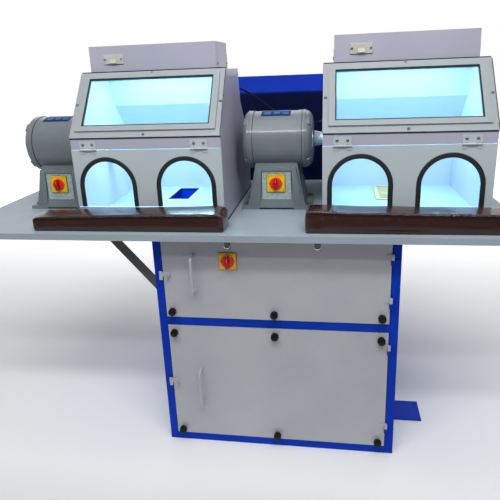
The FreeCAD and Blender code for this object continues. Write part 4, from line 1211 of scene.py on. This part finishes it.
def makeLampPlates():
    # rounded plate, metal strip under it and two screws for each lamp switch
    plates, screws = bmesh.new(), bmesh.new()
    profile = [(0, 0), (0, 0.0024), (0.0007, 0.0022), (0.0011, 0.0012), (0.0005, 0)]
    for low, high in boxesOf("lamp_switch_plates"):
        x0, x1, z0, z1 = low.x + 0.002, high.x - 0.002, low.z + 0.003, high.z - 0.003
        addBox(plates, (x0, low.y + 0.0006, z0), (x1, high.y, z1), 0.0016, 3)
        addBox(screws, (x0 + 0.001, low.y + 0.0022, z0 - 0.0014), (x1 - 0.001, high.y, z0), 0.0003, 1)
        for x in (x0 + 0.0065, x1 - 0.0065):
            addLathe(screws, profile, (x, low.y + 0.0006, (z0 + z1) / 2), (0, -1, 0), 18)
    piece = keepMesh("lamp_plates", plates, switchPlastic, rootBody, 35)
    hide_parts("lamp_switch_plates")
    keepMesh("lamp_plate_screws", screws, screwSteel, rootBody, 30)


def makeClipRimHighlights():
    # rolled edge round the foot of each clip behind the table's lip, in white paint as a painted highlight
    # on its lower rim
    form = bmesh.new()
    for low, high in boxesOf("table_brackets"):
        if high.x - low.x > 0.05:  # the brace under the wing
            continue
        middle, radius, y = (low.x + high.x) / 2, (high.x - low.x) / 2 - 0.001, low.y - 0.001
        spots, sides = [], []
        for i in range(17):
            angle = math.pi * (1 + i / 16)
            outwards = Vector((math.cos(angle), 0, math.sin(angle) * 0.75))
            spots.append(Vector((middle, y, low.z + 0.0085)) + outwards * radius)
            sides.append(Vector((math.cos(angle), 0, math.sin(angle))))
        addSweep(form, spots, sides, roundedSection(0.0028, 0.0034, 0.0012))
    keepMesh("clip_rim_highlights", form, doorPaint, rootBody, 40)


makeHoodDetails()
makeSlotRim()
makeLampPlates()
makeClipRimHighlights()
print("hood details made")


# hood light: one strip under each row of tubes
hoodLight = {"colour": (0.50, 0.90, 1.0), "power": 2.6, "size": (0.34, 0.10), "height": 1.236}


def addAreaLamp(name, look, place):
    data = bpy.data.lights.new(name, "AREA")
    data.shape = "RECTANGLE"
    data.size, data.size_y = look["size"]
    data.energy = look["power"]
    lamp = linkPiece(name, data)
    lamp.location = place
    return lamp


def makeHoodLights():
    for number, (low, high) in enumerate(boxesOf("lamp_tubes")):
        place = ((low.x + high.x) / 2, (low.y + high.y) / 2, hoodLight["height"])
        lamp = addAreaLamp("hoodLight%d" % number, hoodLight, place)
        lamp.data.color = hoodLight["colour"]


makeHoodLights()


# room: pale floor, bright wall behind, dim room in front, a soft top light and two rows of tubes
room = {
    "floor": (0.93, 0.94, 0.95), "floorFront": (0.42, 0.42, 0.43), "floorGlow": (0.06, 1.0),
    "behind": 1.0, "front": 0.10, "above": 0.22,
    "lamps": [  # mirrored: whether glossy surfaces show the lamp
        {"name": "softTop", "place": (0.0, -0.90, 2.93), "size": (3.0, 1.90),
         "power": 14.0, "mirrored": True},
        {"name": "nearTubes", "place": (0.0, -1.61, 2.93), "size": (3.0, 0.24),
         "power": 38.0, "mirrored": False},
        {"name": "farTubes", "place": (0.1, -2.40, 2.93), "size": (2.4, 0.11),
         "power": 18.0, "mirrored": True},
    ],
    "aim": (-0.1, -0.25, 0.85),
}


def makeWorld():
    world = bpy.data.worlds.new("studio")
    world.use_nodes = True
    tree = world.node_tree
    parts = addNode(tree, "ShaderNodeSeparateXYZ")
    tree.links.new(addNode(tree, "ShaderNodeTexCoord").outputs["Generated"], parts.inputs["Vector"])
    wall = stretch(tree, parts.outputs["Y"], 0.45, 0.62, 0.0, 1.0)
    up = stretch(tree, parts.outputs["Z"], 0.0, 0.8, room["front"], room["above"])
    dim = addNode(tree, "ShaderNodeCombineColor")
    for channel in ("Red", "Green", "Blue"):
        tree.links.new(up, dim.inputs[channel])
    colour = blendColour(tree, wall, dim.outputs["Color"], (room["behind"],) * 3)
    tree.links.new(colour, tree.nodes["Background"].inputs["Color"])
    bpy.context.scene.world = world


def makeFloor():
    form = bmesh.new()
    bmesh.ops.create_circle(form, cap_ends=True, radius=9, segments=64)
    mesh = bpy.data.meshes.new("floor")
    form.to_mesh(mesh)
    form.free()
    material, tree, shader = startFinish("paleFloor")
    tone = noiseOf(tree, placeOf(tree), 1.2, 3.0, 0.5)
    pale = blendColour(tree, tone, room["floor"], tuple(c * 0.985 for c in room["floor"]))
    parts = addNode(tree, "ShaderNodeSeparateXYZ")
    tree.links.new(placeOf(tree), parts.inputs["Vector"])
    share = stretch(tree, parts.outputs["Y"], -1.3, -0.5, 0.0, 1.0)
    colour = blendColour(tree, share, room["floorFront"], pale)
    tree.links.new(colour, shader.inputs["Base Color"])
    shader.inputs["Roughness"].default_value = 0.9
    shader.inputs["Specular IOR Level"].default_value = 0.1
    shader.inputs["Emission Color"].default_value = (1, 1, 1, 1)
    glow = stretch(tree, parts.outputs["Y"], 0.4, 2.6, *room["floorGlow"])
    tree.links.new(glow, shader.inputs["Emission Strength"])
    mesh.materials.append(material)
    floor = linkPiece("floor", mesh)
    floor.location.z = -0.0005


def makeRoom():
    makeWorld()
    makeFloor()
    for look in room["lamps"]:
        lamp = addAreaLamp(look["name"], look, look["place"])
        lamp.visible_glossy = look["mirrored"]
        aim = Vector(room["aim"]) - Vector(look["place"])
        lamp.rotation_euler = aim.to_track_quat("-Z", "Y").to_euler()
    bpy.context.scene.view_settings.view_transform = "Standard"


makeRoom()
print("room lit")
